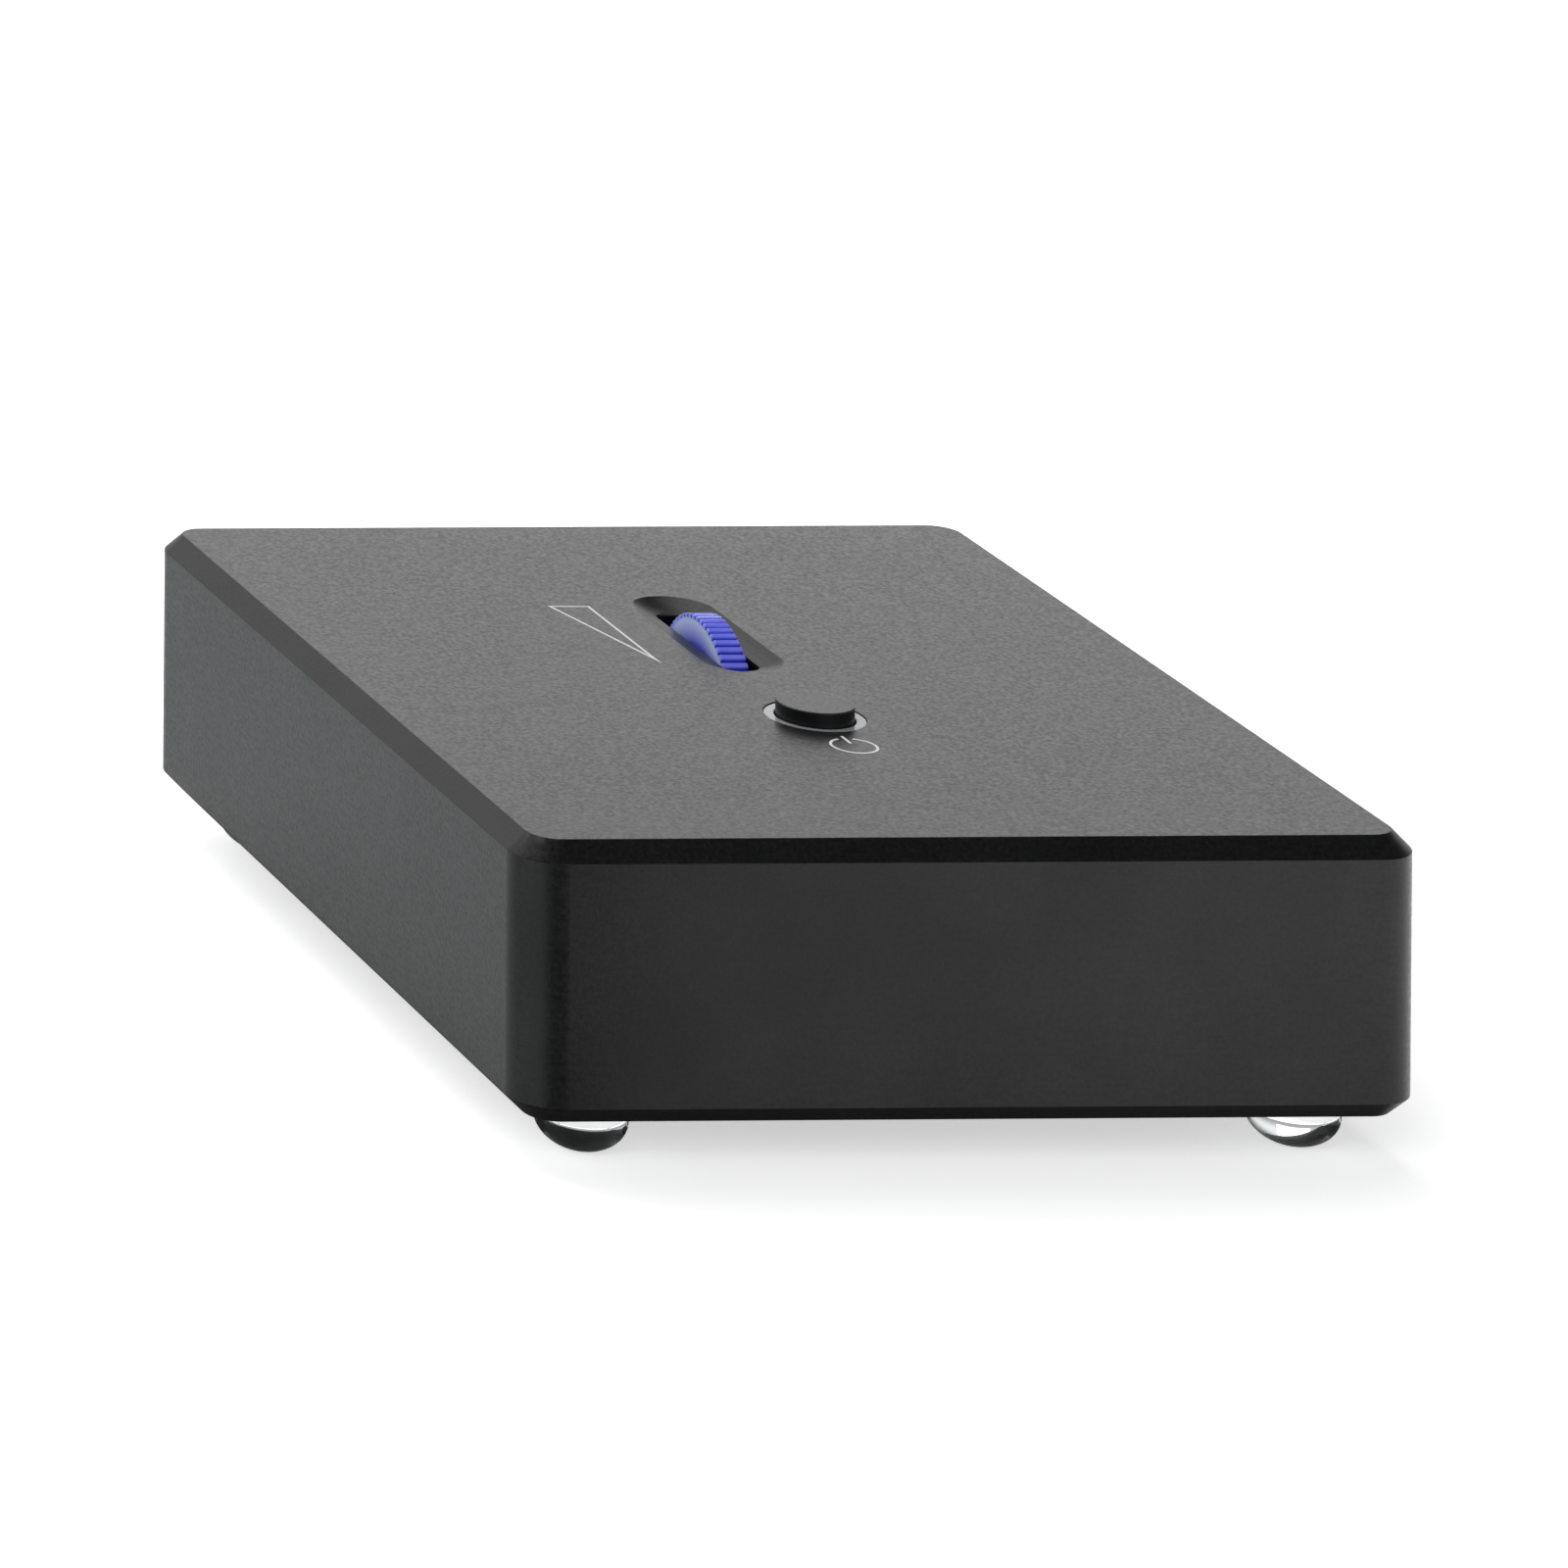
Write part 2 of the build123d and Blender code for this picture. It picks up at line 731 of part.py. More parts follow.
def socket_nuts():
    """Nuts that clamp the four phono sockets from inside."""
    nuts = []
    for x in socket_x.values():
        levels = (cavity_back - socket_nut_thickness, cavity_back)
        nut = hexagon_y(socket_nut_across_flats, *levels, x, socket_axis)
        nuts.append(nut - rod_y(shell_neck_radius, *levels, x, socket_axis))
    return nuts


def headphone_jack():
    """Headphone jack: a body on the main board and a round neck through the wall."""
    half = headphone_body_width / 2
    front = cavity_back - headphone_body_depth
    top = socket_axis + headphone_body_above_axis
    sides = (headphone_x - half, headphone_x + half)
    jack = block(sides, (front, cavity_back), (main_board_top, top))
    mouth = case_back + headphone_neck_proud
    jack += rod_y(headphone_neck_radius, cavity_back, mouth, headphone_x, socket_axis)
    bottom = mouth - headphone_bore_length
    return jack - rod_y(headphone_bore_radius, bottom, mouth, headphone_x, socket_axis)


def headphone_nut():
    """Ring nut on the headphone jack's neck."""
    back = case_back + headphone_nut_thickness
    nut = rod_y(headphone_nut_radius, case_back, back, headphone_x, socket_axis)
    return nut - rod_y(headphone_neck_radius, case_back, back, headphone_x, socket_axis)


inlet_mouth = case_back + inlet_proud
inlet_bottom = inlet_mouth - inlet_bore_length


def power_inlet():
    """Power inlet for a round plug: a body on the main board and a neck through the wall."""
    half = inlet_body_width / 2
    front = cavity_back - inlet_body_depth
    top = socket_axis + inlet_body_above_axis
    sides = (inlet_x - half, inlet_x + half)
    inlet = block(sides, (front, cavity_back), (main_board_top, top))
    inlet += rod_y(inlet_neck_radius, cavity_back, inlet_mouth, inlet_x, socket_axis)
    inlet -= rod_y(inlet_bore_radius, inlet_bottom, inlet_mouth, inlet_x, socket_axis)
    anchor = inlet_bottom - inlet_pin_anchor
    return inlet - rod_y(inlet_pin_anchor_radius, anchor, inlet_bottom, inlet_x, socket_axis)


def inlet_pin():
    """Centre pin of the power inlet, with a round nose."""
    tip = inlet_mouth - inlet_pin_setback
    anchor = inlet_bottom - inlet_pin_anchor
    nose = tip - inlet_pin_radius
    pin = rod_y(inlet_pin_radius, inlet_bottom, nose, inlet_x, socket_axis)
    pin += rod_y(inlet_pin_anchor_radius, anchor, inlet_bottom, inlet_x, socket_axis)
    return pin + Pos(inlet_x, nose, socket_axis) * Sphere(inlet_pin_radius)


ground_face = case_back + ground_flange_thickness
washer_back = ground_face + ground_washer_thickness
stud_tail_end = cavity_back - ground_lock_nut_thickness - ground_stud_tail


def ground_stud():
    """Ground post's stud, with a flange outside the rear wall."""
    tip = case_back + ground_reach
    stud = rod_y(ground_stud_radius, stud_tail_end, tip, ground_x, socket_axis)
    return stud + rod_y(ground_flange_radius, case_back, ground_face, ground_x, socket_axis)


def ground_washer():
    """Washer that rides on the knurled nut and clamps the ground lead."""
    bore = ground_stud_radius + ground_nut_gap
    ring = rod_y(ground_washer_radius, ground_face, washer_back, ground_x, socket_axis)
    return ring - rod_y(bore, ground_face, washer_back, ground_x, socket_axis)


def ground_nut():
    """Knurled nut turned by hand on the ground stud."""
    outline = ribbed_outline(ground_nut_radius, ground_flute_depth, ground_nut_flutes)
    outline -= Circle(ground_stud_radius + ground_nut_gap)
    place = Pos(ground_x, washer_back, socket_axis) * Rot(-90, 0, 0)
    return place * extrude(outline, ground_nut_length)


def ground_lock_nut():
    """Nut that holds the ground stud from inside."""
    levels = (cavity_back - ground_lock_nut_thickness, cavity_back)
    nut = hexagon_y(ground_lock_nut_across_flats, *levels, ground_x, socket_axis)
    return nut - rod_y(ground_stud_radius, *levels, ground_x, socket_axis)


def cartridge_switch_case():
    """Slide switch under the main board, open below along the lever's travel."""
    wall = cartridge_case_wall
    middle = cartridge_switch_x + cartridge_travel / 2
    y = cartridge_switch_y
    levels = (cartridge_case_bottom, main_board_bottom)
    case = centred_block(middle, y, cartridge_case_length, cartridge_case_width, *levels)
    room_length = slider_base_length + cartridge_travel + 2 * slider_gap
    room_width = cartridge_case_width - 2 * wall
    room = (cartridge_case_bottom + wall, cartridge_case_bottom + wall + slider_base_thickness + slider_gap)
    case -= centred_block(middle, y, room_length, room_width, *room)
    slit_length = slider_lever_length + cartridge_travel + 2 * slider_gap
    slit_width = slider_lever_width + 2 * slider_gap
    return case - centred_block(middle, y, slit_length, slit_width, cartridge_case_bottom, room[0])


def cartridge_slider():
    """Slider of the cartridge switch, with a lever down into the base plate's window."""
    low = cartridge_case_bottom + cartridge_case_wall + slider_gap / 2
    width = cartridge_case_width - 2 * cartridge_case_wall - 2 * slider_gap
    x, y = cartridge_switch_x, cartridge_switch_y
    base = centred_block(x, y, slider_base_length, width, low, low + slider_base_thickness)
    lever_end = case_bottom + slider_setback
    return base + centred_block(x, y, slider_lever_length, slider_lever_width, lever_end, low)


filter_capacitors_end = (
    main_board_front + filter_capacitor_front_inset + filter_capacitor_pitch + filter_capacitor_radius
)


def filter_capacitors():
    """Four upright electrolytic capacitors."""
    cans = []
    top = main_board_top + filter_capacitor_height
    for side in (-1, 1):
        for index in (0, 1):
            y = main_board_front + filter_capacitor_front_inset + index * filter_capacitor_pitch
            x = side * (main_board_side - filter_capacitor_side_inset)
            can = post(filter_capacitor_radius, main_board_top, top, x, y)
            cans.append(fillet(can.edges().group_by(Axis.Z)[-1], filter_capacitor_edge))
    return cans


def film_capacitors():
    """Row of boxed film capacitors on the input side."""
    width, depth, height = film_capacitor_size
    x = main_board_side - film_capacitor_side_inset
    first = filter_capacitors_end + film_capacitor_gap + depth / 2
    boxes = []
    for index in range(film_capacitor_count):
        y = first + index * film_capacitor_pitch
        boxes.append(centred_block(x, y, width, depth, main_board_top, main_board_top + height))
    return boxes


def amplifier_chip(x, y):
    """Dual-in-line amplifier chip on its legs."""
    width, length, height = chip_size
    low = main_board_top + chip_standoff
    chip = centred_block(x, y, width, length, low, low + height)
    shoulder = low + height / 2
    for side in (-1, 1):
        for index in range(chip_legs_a_side):
            leg_y = y + (index - (chip_legs_a_side - 1) / 2) * chip_leg_pitch
            leg_x = x + side * (width + chip_leg_side) / 2
            half = chip_leg_side
            chip += centred_block(leg_x, leg_y, half, half, main_board_top, shoulder)
    return chip


def amplifier_chips():
    """Four amplifier chips, two for each channel."""
    rows = (main_board_front + chip_front_inset, main_board_back - chip_rear_inset)
    return [amplifier_chip(side * chip_x, y) for side in (-1, 1) for y in rows]


def output_relay():
    """Relay that mutes the output."""
    width, depth, height = relay_size
    x = relay_side_inset - main_board_side
    y = filter_capacitors_end + relay_gap + depth / 2
    relay = centred_block(x, y, width, depth, main_board_top, main_board_top + height)
    return fillet(relay.edges().filter_by(Axis.Z), relay_edge)


def voltage_regulator():
    """Upright regulator with its cooling tab."""
    width, depth, height = regulator_size
    x = regulator_side_inset - main_board_side
    front = main_board_back - regulator_rear_inset - depth / 2
    tab = (front, front + regulator_tab_thickness)
    sides = (x - width / 2, x + width / 2)
    body = block(sides, (front, front + depth), (main_board_top, main_board_top + height))
    body += block(sides, tab, (main_board_top + height, main_board_top + regulator_tab_height))
    hole_height = main_board_top + (height + regulator_tab_height) / 2
    return body - rod_y(regulator_hole_radius, *tab, x, hole_height)


def resistors():
    """Row of axial resistors near the front edge of the main board."""
    parts = []
    y = main_board_front + resistor_front_inset
    axis = main_board_top + resistor_lift + resistor_radius
    lead = resistor_lead_radius
    for index in range(resistor_count):
        x = (index - (resistor_count - 1) / 2) * resistor_pitch
        front = y - resistor_length / 2
        part = rod_y(resistor_radius, front, front + resistor_length, x, axis)
        part += rod_y(lead, y - resistor_span / 2, y + resistor_span / 2, x, axis)
        for end in (-1, 1):
            bend = y + end * resistor_span / 2
            part += Pos(x, bend, axis) * Sphere(lead)
            part += post(lead, main_board_top, axis, x, bend)
        parts.append(part)
    return parts


nodes = {
    "case_body": case_body(),
    "base_plate": base_plate(),
    "base_screws": base_screws(),
    "volume_wheel": volume_wheel(),
    "volume_shaft": volume_shaft(),
    "volume_pot_case": volume_pot_case(),
    "power_button": power_button(),
    "button_plunger": button_plunger(),
    "button_spring": button_spring(),
    "power_switch_case": power_switch_case(),
    "light_ring": light_ring(),
    "ring_lamps": ring_lamps(),
    "control_board": control_board(),
    "control_screws": control_screws(),
    "link_socket": link_socket(),
    "link_pins": link_pins(),
    "main_board": main_board(),
    "board_standoffs": board_standoffs(),
    "standoff_screws": standoff_screws(),
    "board_screws": board_screws(),
    "left_colour_rings": colour_rings("left"),
    "right_colour_rings": colour_rings("right"),
    "socket_nuts": socket_nuts(),
    "headphone_jack": headphone_jack(),
    "headphone_nut": headphone_nut(),
    "power_inlet": power_inlet(),
    "inlet_pin": inlet_pin(),
    "ground_stud": ground_stud(),
    "ground_washer": ground_washer(),
    "ground_nut": ground_nut(),
    "ground_lock_nut": ground_lock_nut(),
    "cartridge_switch_case": cartridge_switch_case(),
    "cartridge_slider": cartridge_slider(),
    "filter_capacitors": filter_capacitors(),
    "film_capacitors": film_capacitors(),
    "amplifier_chips": amplifier_chips(),
    "output_relay": output_relay(),
    "voltage_regulator": voltage_regulator(),
    "resistors": resistors(),
}
for place, (side, y) in foot_places.items():
    nodes[f"foot_{place}"] = foot(side, y)
for name, x in socket_x.items():
    nodes[f"{name}_shell"] = socket_shell(x)
    nodes[f"{name}_insulator"] = socket_insulator(x)
    nodes[f"{name}_contact"] = socket_contact(x)

os.makedirs("parts", exist_ok=True)
for name, shape in nodes.items():
    if isinstance(shape, list):
        shape = Compound(children=shape)
    export_step(shape, f"parts/{name}.step")
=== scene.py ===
import bmesh
import bpy
import json
import numpy as np
from math import pi, radians, sqrt
from mathutils import Matrix, Vector


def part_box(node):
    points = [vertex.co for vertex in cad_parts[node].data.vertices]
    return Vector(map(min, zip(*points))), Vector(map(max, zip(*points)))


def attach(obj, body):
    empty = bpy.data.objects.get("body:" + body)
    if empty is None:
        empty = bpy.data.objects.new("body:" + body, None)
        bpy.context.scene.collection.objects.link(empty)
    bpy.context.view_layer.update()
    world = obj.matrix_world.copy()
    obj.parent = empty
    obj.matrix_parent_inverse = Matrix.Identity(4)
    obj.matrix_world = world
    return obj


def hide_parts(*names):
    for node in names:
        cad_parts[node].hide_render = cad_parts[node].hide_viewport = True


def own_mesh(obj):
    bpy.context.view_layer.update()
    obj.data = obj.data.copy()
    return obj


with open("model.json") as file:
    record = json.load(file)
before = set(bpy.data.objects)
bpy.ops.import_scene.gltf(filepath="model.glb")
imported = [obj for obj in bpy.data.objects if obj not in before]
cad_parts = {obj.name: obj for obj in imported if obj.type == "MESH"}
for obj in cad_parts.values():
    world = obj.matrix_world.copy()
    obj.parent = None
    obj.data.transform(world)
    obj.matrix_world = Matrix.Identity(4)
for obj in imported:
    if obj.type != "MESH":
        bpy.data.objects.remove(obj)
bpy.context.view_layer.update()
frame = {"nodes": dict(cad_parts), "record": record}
scene = bpy.context.scene
scene.view_settings.view_transform = "Standard"
mm = 0.001
print("the packed model is in:", len(frame["nodes"]), "nodes")

# A view camera: its back stays parallel to the case's front while the lens looks in from the left,
# so upright and sideways edges stay parallel in the render. The slant of the view is a shear.
# place is metres, turn radians and sensorWidth millimetres.
viewCamera = {
    "place": (-0.4025, -0.9417, 0.3393),
    "focalPixels": 8637.1,
    "axisPixel": (-2616.3, -2017.0),
    "imagePixels": 1600,
    "sensorWidth": 36.0,
    "turn": (0.00856, -0.03017, 0.00446),
}


def turnMatrix(turn):
    # turn about X, then Y, then Z
    aboutX, aboutY, aboutZ = (Matrix.Rotation(angle, 3, axis) for angle, axis in zip(turn, "XYZ"))
    return aboutZ @ aboutY @ aboutX


def makeCamera():
    # camera axes = looking axes * slant, the slant moving each point sideways and up by its depth;
    # the plain matrices only swap and flip axes, from z up to z forwards and then backwards
    half = viewCamera["imagePixels"] / 2
    focal = viewCamera["focalPixels"]
    slantX = (viewCamera["axisPixel"][0] - half) / focal
    slantY = (viewCamera["axisPixel"][1] - half) / focal
    looking = turnMatrix(viewCamera["turn"]) @ Matrix(((1, 0, 0), (0, 0, -1), (0, 1, 0)))
    slant = Matrix(((1, 0, slantX), (0, 1, slantY), (0, 0, 1)))
    flip = Matrix(((1, 0, 0), (0, -1, 0), (0, 0, -1)))
    axes = (flip @ slant @ looking).inverted().to_4x4()
    data = bpy.data.cameras.new("viewCamera")
    data.sensor_width = viewCamera["sensorWidth"]
    data.lens = focal / viewCamera["imagePixels"] * data.sensor_width * sqrt(1 + slantX**2 + slantY**2)
    camera = bpy.data.objects.new("viewCamera", data)
    stand = bpy.data.objects.new("cameraStand", None)
    scene.collection.objects.link(camera)
    scene.collection.objects.link(stand)
    camera.parent = stand
    camera.matrix_parent_inverse = Matrix.Translation(viewCamera["place"]) @ axes
    scene.camera = camera


makeCamera()
print("the camera stands")

# the light, the floor and the background; heights and sides in the room are parts of a direction of length
# one, and the floor's sizes are metres
studio = {
    "white": (1.0, 1.0, 1.0, 1.0),
    "ceiling": (0.06, 0.063, 0.066, 1.0),
    "horizon": (0.42, 0.42, 0.42, 1.0),
    "horizonUpTo": 0.02,
    "whiteFrom": 0.2,
    "whiteUpTo": 0.42,
    "ceilingFrom": 0.62,
    "ceilingTilt": 0.25,
    "cameraSide": (0.16, 0.17, 0.18, 1.0),
    "cameraSideFrom": 0.45,
    "cameraSideTo": 0.9,
    "cameraSideWay": (-0.80, -0.60, 0.0),
    "floorColour": (0.9, 0.9, 0.9, 1.0),
    # painted reflection: the floor to the left is darker and greener, in gloss only
    "floorAtLeft": (0.73, 0.79, 0.785, 1.0),
    "floorShine": 0.55,
    "floorShineThrough": 0.9,
    "floorShineInGloss": 0.2,
    # painted light: in gloss the floor glows more towards the right
    "floorShineToRight": 0.5,
    "floorSize": 3.0,
    "floorPoints": 9,
    "floorDrop": 0.00005,
    "floorRoughness": 0.9,
    "floorSpecular": 0.2,
}
# painted shade and light on the floor as the case's gloss sees it: a painted shadow under the case, a painted
# dark reflection in a sector out from its near corner, a band of painted shade beside its left wall and
# painted light growing towards the right; places are millimetres, the sector's angles degrees round the
# corner's middle
paintedFloorGloss = {
    "case": ((-48.5, 48.5), (-61.5, 50.5)),
    "border": 6.0,
    "under": 0.9,
    "corner": (-43.5, -56.5),
    "sector": (-134.0, -113.0, -74.0, -62.0),
    "leftBand": (-62.0, -50.0, -25.0, 70.0),
    "leftShade": 0.16,
    "inSector": 0.85,
    "rightFrom": -30.0,
    "rightTo": 110.0,
}
# metres and watts
lamps = {
    "overBank": {"place": (-0.15, 0.5, 1.1), "size": (1.1, 1.1), "power": 9.0, "inGloss": True},
    "rightBank": {"place": (1.1, 2.2, 0.5), "size": (1.2, 0.6), "power": 2.2, "inGloss": True},
    "nearFill": {"place": (-0.9, -1.0, 0.8), "size": (1.0, 0.8), "power": 11.0, "inGloss": False},
}


def feed(tree, socket, value):
    # a socket is linked to another one, or set to a plain value
    if isinstance(value, bpy.types.NodeSocket):
        tree.links.new(value, socket)
    else:
        socket.default_value = value


def feedInputs(tree, node, values):
    for key, value in values.items():
        feed(tree, node.inputs[key], value)


def addNode(tree, kind, settings=None, **inputs):
    # a node with its settings and its inputs by name
    added = tree.nodes.new(kind)
    for key, value in (settings or {}).items():
        setattr(added, key, value)
    feedInputs(tree, added, inputs)
    return added


def mathNode(tree, operation, first, *others):
    # one node for each value after the first, worked on what the node before it gives, or one for a lone value
    for second in others or (0.0,):
        added = addNode(tree, "ShaderNodeMath", {"operation": operation})
        for socket, value in zip(added.inputs, (first, second)):
            feed(tree, socket, value)
        first = added.outputs[0]
    return first


def vectorNode(tree, operation, *vectors):
    added = addNode(tree, "ShaderNodeVectorMath", {"operation": operation})
    for socket, value in zip(added.inputs, vectors):
        feed(tree, socket, value)
    return added.outputs


def scaled(tree, colour, share):
    added = addNode(tree, "ShaderNodeVectorMath", {"operation": "SCALE"}, Scale=share)
    feed(tree, added.inputs[0], colour)
    return added.outputs[0]


def blendTones(tree, share, first, second):
    # a colour Mix node has its share at input 0, its colours at 6 and 7 and its result at output 2
    mix = addNode(tree, "ShaderNodeMix", {"data_type": "RGBA"})
    for place, value in ((0, share), (6, first), (7, second)):
        feed(tree, mix.inputs[place], value)
    return mix.outputs[2]


def spread(tree, share, low, high, fromLow=0.3, fromHigh=0.7, ease="LINEAR"):
    # from fromLow..fromHigh to low..high; noise keeps near a half, so its middle part is what is spread
    ranged = addNode(tree, "ShaderNodeMapRange", {"interpolation_type": ease}, Value=share)
    feedInputs(tree, ranged, {"From Min": fromLow, "From Max": fromHigh, "To Min": low, "To Max": high})
    return ranged.outputs["Result"]


def makeStudio():
    # the walls are grey along the floor and white up to a height that sinks towards the right, the ceiling is
    # dark, and so is the side that the camera stands on; the camera sees white
    world = bpy.data.worlds.new("studio")
    scene.world = world
    world.use_nodes = True
    tree = world.node_tree
    direction = addNode(tree, "ShaderNodeTexCoord").outputs["Generated"]
    compass = addNode(tree, "ShaderNodeSeparateXYZ", Vector=direction).outputs
    height = compass["Z"]
    ease = "SMOOTHSTEP"
    towards = vectorNode(tree, "DOT_PRODUCT", direction, studio["cameraSideWay"])["Value"]
    side = spread(tree, towards, 0.0, 1.0, studio["cameraSideFrom"], studio["cameraSideTo"], ease)
    low = spread(tree, height, 0.0, 1.0, studio["horizonUpTo"], studio["whiteFrom"], ease)
    walls = blendTones(tree, low, studio["horizon"], studio["white"])
    walls = blendTones(tree, side, walls, studio["cameraSide"])
    tilted = mathNode(tree, "ADD", height, mathNode(tree, "MULTIPLY", compass["X"], studio["ceilingTilt"]))
    rise = spread(tree, tilted, 0.0, 1.0, studio["whiteUpTo"], studio["ceilingFrom"], ease)
    room = blendTones(tree, rise, walls, studio["ceiling"])
    camera = addNode(tree, "ShaderNodeLightPath").outputs["Is Camera Ray"]
    seen = blendTones(tree, camera, room, studio["white"])
    feed(tree, tree.nodes["Background"].inputs["Color"], seen)


def hump(tree, value, start, full, fading, end):
    # nothing up to start, all from full to fading, nothing again from end on
    grows = spread(tree, value, 0.0, 1.0, start, full)
    return mathNode(tree, "MINIMUM", grows, spread(tree, value, 1.0, 0.0, fading, end))


def within(tree, value, low, high, border):
    # all between low and high, fading over the border outside; in millimetres
    away = mathNode(tree, "ABSOLUTE", mathNode(tree, "SUBTRACT", value, (low + high) / 2 * mm))
    return spread(tree, away, 1.0, 0.0, (high - low) / 2 * mm, ((high - low) / 2 + border) * mm)


def floorGlossShare(tree):
    # shares by place on the floor: how much painted shade the gloss sees on it, how far it is to the right,
    # and to the left
    look = paintedFloorGloss
    place = addNode(tree, "ShaderNodeTexCoord").outputs["Object"]
    spot = addNode(tree, "ShaderNodeSeparateXYZ", Vector=place).outputs
    acrossCase, alongCase = look["case"]
    border = look["border"]
    sideways = within(tree, spot["X"], *acrossCase, border)
    along = within(tree, spot["Y"], *alongCase, border)
    # painted shadow under the case
    under = mathNode(tree, "MULTIPLY", sideways, along, look["under"])
    cornerX, cornerY = look["corner"]
    fromX = mathNode(tree, "SUBTRACT", spot["X"], cornerX * mm)
    fromY = mathNode(tree, "SUBTRACT", spot["Y"], cornerY * mm)
    angle = mathNode(tree, "ARCTAN2", fromY, fromX)
    # painted dark reflection in a sector out from the near corner
    sector = hump(tree, angle, *(radians(value) for value in look["sector"]))
    sector = mathNode(tree, "MULTIPLY", sector, look["inSector"])
    left = acrossCase[0]
    atLeft = spread(tree, spot["X"], 0.0, 1.0, left * mm, (left - border) * mm)
    # painted shade in a band beside the left wall
    band = hump(tree, spot["Y"], *(value * mm for value in look["leftBand"]))
    band = mathNode(tree, "MULTIPLY", band, look["leftShade"], atLeft)
    dark = mathNode(tree, "MAXIMUM", under, sector, band)
    toRight = spread(tree, spot["X"], 0.0, 1.0, look["rightFrom"] * mm, look["rightTo"] * mm)
    return dark, toRight, atLeft


def makeFloor():
    # a flat grid: x and y run evenly over the floor, z is just under the feet
    half, count = studio["floorSize"] / 2, studio["floorPoints"]
    along = np.linspace(-half, half, count)
    x, y = np.meshgrid(along, along)
    points = np.stack((x, y, np.full_like(x, -studio["floorDrop"])), -1).reshape(-1, 3)
    mesh = bpy.data.meshes.new("floor")
    mesh.from_pydata(points.tolist(), [], gridFaces(count, count, False).tolist())
    floor = bpy.data.objects.new("floor", mesh)
    scene.collection.objects.link(floor)
    material = bpy.data.materials.new("palePaper")
    material.use_nodes = True
    tree = material.node_tree
    # the camera and clear plastic see it nearly white; gloss sees it by place, with painted shade, a painted
    # tint and painted light
    paths = addNode(tree, "ShaderNodeLightPath").outputs
    seen = mathNode(tree, "MULTIPLY", paths["Is Camera Ray"], studio["floorShine"])
    through = mathNode(tree, "MULTIPLY", paths["Is Transmission Ray"], studio["floorShineThrough"])
    dark, toRight, atLeft = floorGlossShare(tree)
    gloss = paths["Is Glossy Ray"]
    # painted shade: gloss sees the floor darker under the case, in the corner's sector and beside the left
    # wall
    lit = mathNode(tree, "SUBTRACT", 1.0, mathNode(tree, "MULTIPLY", dark, gloss))
    # painted light: gloss sees the floor glow more towards the right
    mirrored = mathNode(tree, "MULTIPLY", toRight, studio["floorShineToRight"])
    mirrored = mathNode(tree, "ADD", mirrored, studio["floorShineInGloss"])
    mirrored = mathNode(tree, "MULTIPLY", mirrored, lit, gloss)
    # painted reflection: gloss sees the floor to the left darker and greener
    tinting = mathNode(tree, "MULTIPLY", atLeft, gloss)
    tinted = blendTones(tree, tinting, studio["floorColour"], studio["floorAtLeft"])
    feedInputs(tree, tree.nodes["Principled BSDF"], {
        "Base Color": scaled(tree, tinted, lit),
        "Roughness": studio["floorRoughness"],
        "Specular IOR Level": studio["floorSpecular"],
        "Emission Color": studio["white"],
        "Emission Strength": mathNode(tree, "MAXIMUM", seen, through, mirrored),
    })
    mesh.materials.append(material)


def makeLamps():
    # soft oblong lamps that all look at the case; the near one only fills, so it doesn't show in the metal
    for name, lamp in lamps.items():
        data = bpy.data.lights.new(name, "AREA")
        data.shape = "RECTANGLE"
        data.size, data.size_y = lamp["size"]
        data.energy = lamp["power"]
        light = bpy.data.objects.new(name, data)
        light.location = lamp["place"]
        light.rotation_euler = (-Vector(lamp["place"])).to_track_quat("-Z", "Y").to_euler()
        light.visible_glossy = lamp["inGloss"]
        scene.collection.objects.link(light)


def gridFaces(rows, columns, closed):
    # corner (r, c) joins (r, c + 1), (r + 1, c + 1) and (r + 1, c); closed joins the last column to the first
    r = np.arange(rows - 1)[:, None]
    c = np.arange(columns if closed else columns - 1)[None, :]
    n = (c + 1) % columns
    corners = (r * columns + c, r * columns + n, (r + 1) * columns + n, (r + 1) * columns + c)
    return np.stack(corners, -1).reshape(-1, 4)


def joined(parts):
    # several grids as one: each part's corners are numbered after those of the parts before it
    points = [part[0].reshape(-1, 3) for part in parts]
    starts = np.cumsum([0] + [len(some) for some in points])
    faces = [part[1] + start for part, start in zip(parts, starts)]
    return np.concatenate(points), np.concatenate(faces)


flatReach = 1.5  # how many times its softness a corner keeps the sides beside it flat


def softCorners(corners, softness, steps):
    # each corner is cut back by softness along both its sides and bridged by the curve
    # (1 - u)^2 * before + 2u(1 - u) * corner + u^2 * after; one more point on each side keeps that side flat
    corners = np.asarray(corners, float)
    sides = np.diff(corners, axis=0)
    lengths = np.linalg.norm(sides[:, :2], axis=1)[:, None]
    cut = np.minimum(softness, np.minimum(lengths[:-1], lengths[1:]) / 2)
    before = corners[1:-1] - sides[:-1] / lengths[:-1] * cut
    after = corners[1:-1] + sides[1:] / lengths[1:] * cut
    u = np.linspace(0, 1, steps)[:, None, None]
    curves = (1 - u) ** 2 * before + 2 * u * (1 - u) * corners[1:-1] + u**2 * after
    flatBefore = corners[1:-1] - sides[:-1] / lengths[:-1] * np.minimum(flatReach * cut, lengths[:-1] / 2)
    flatAfter = corners[1:-1] + sides[1:] / lengths[1:] * np.minimum(flatReach * cut, lengths[1:] / 2)
    curves = np.concatenate((flatBefore[None], curves, flatAfter[None]))
    curves = curves.transpose(1, 0, 2).reshape(-1, corners.shape[1])
    return np.concatenate((corners[:1], curves, corners[-1:]))


# the way along each axis, then the two ways across it
axisFrames = {
    "x": np.array(((1, 0, 0), (0, 1, 0), (0, 0, 1)), float),
    "y": np.array(((0, 1, 0), (1, 0, 0), (0, 0, 1)), float),
    "z": np.array(((0, 0, 1), (1, 0, 0), (0, 1, 0)), float),
}


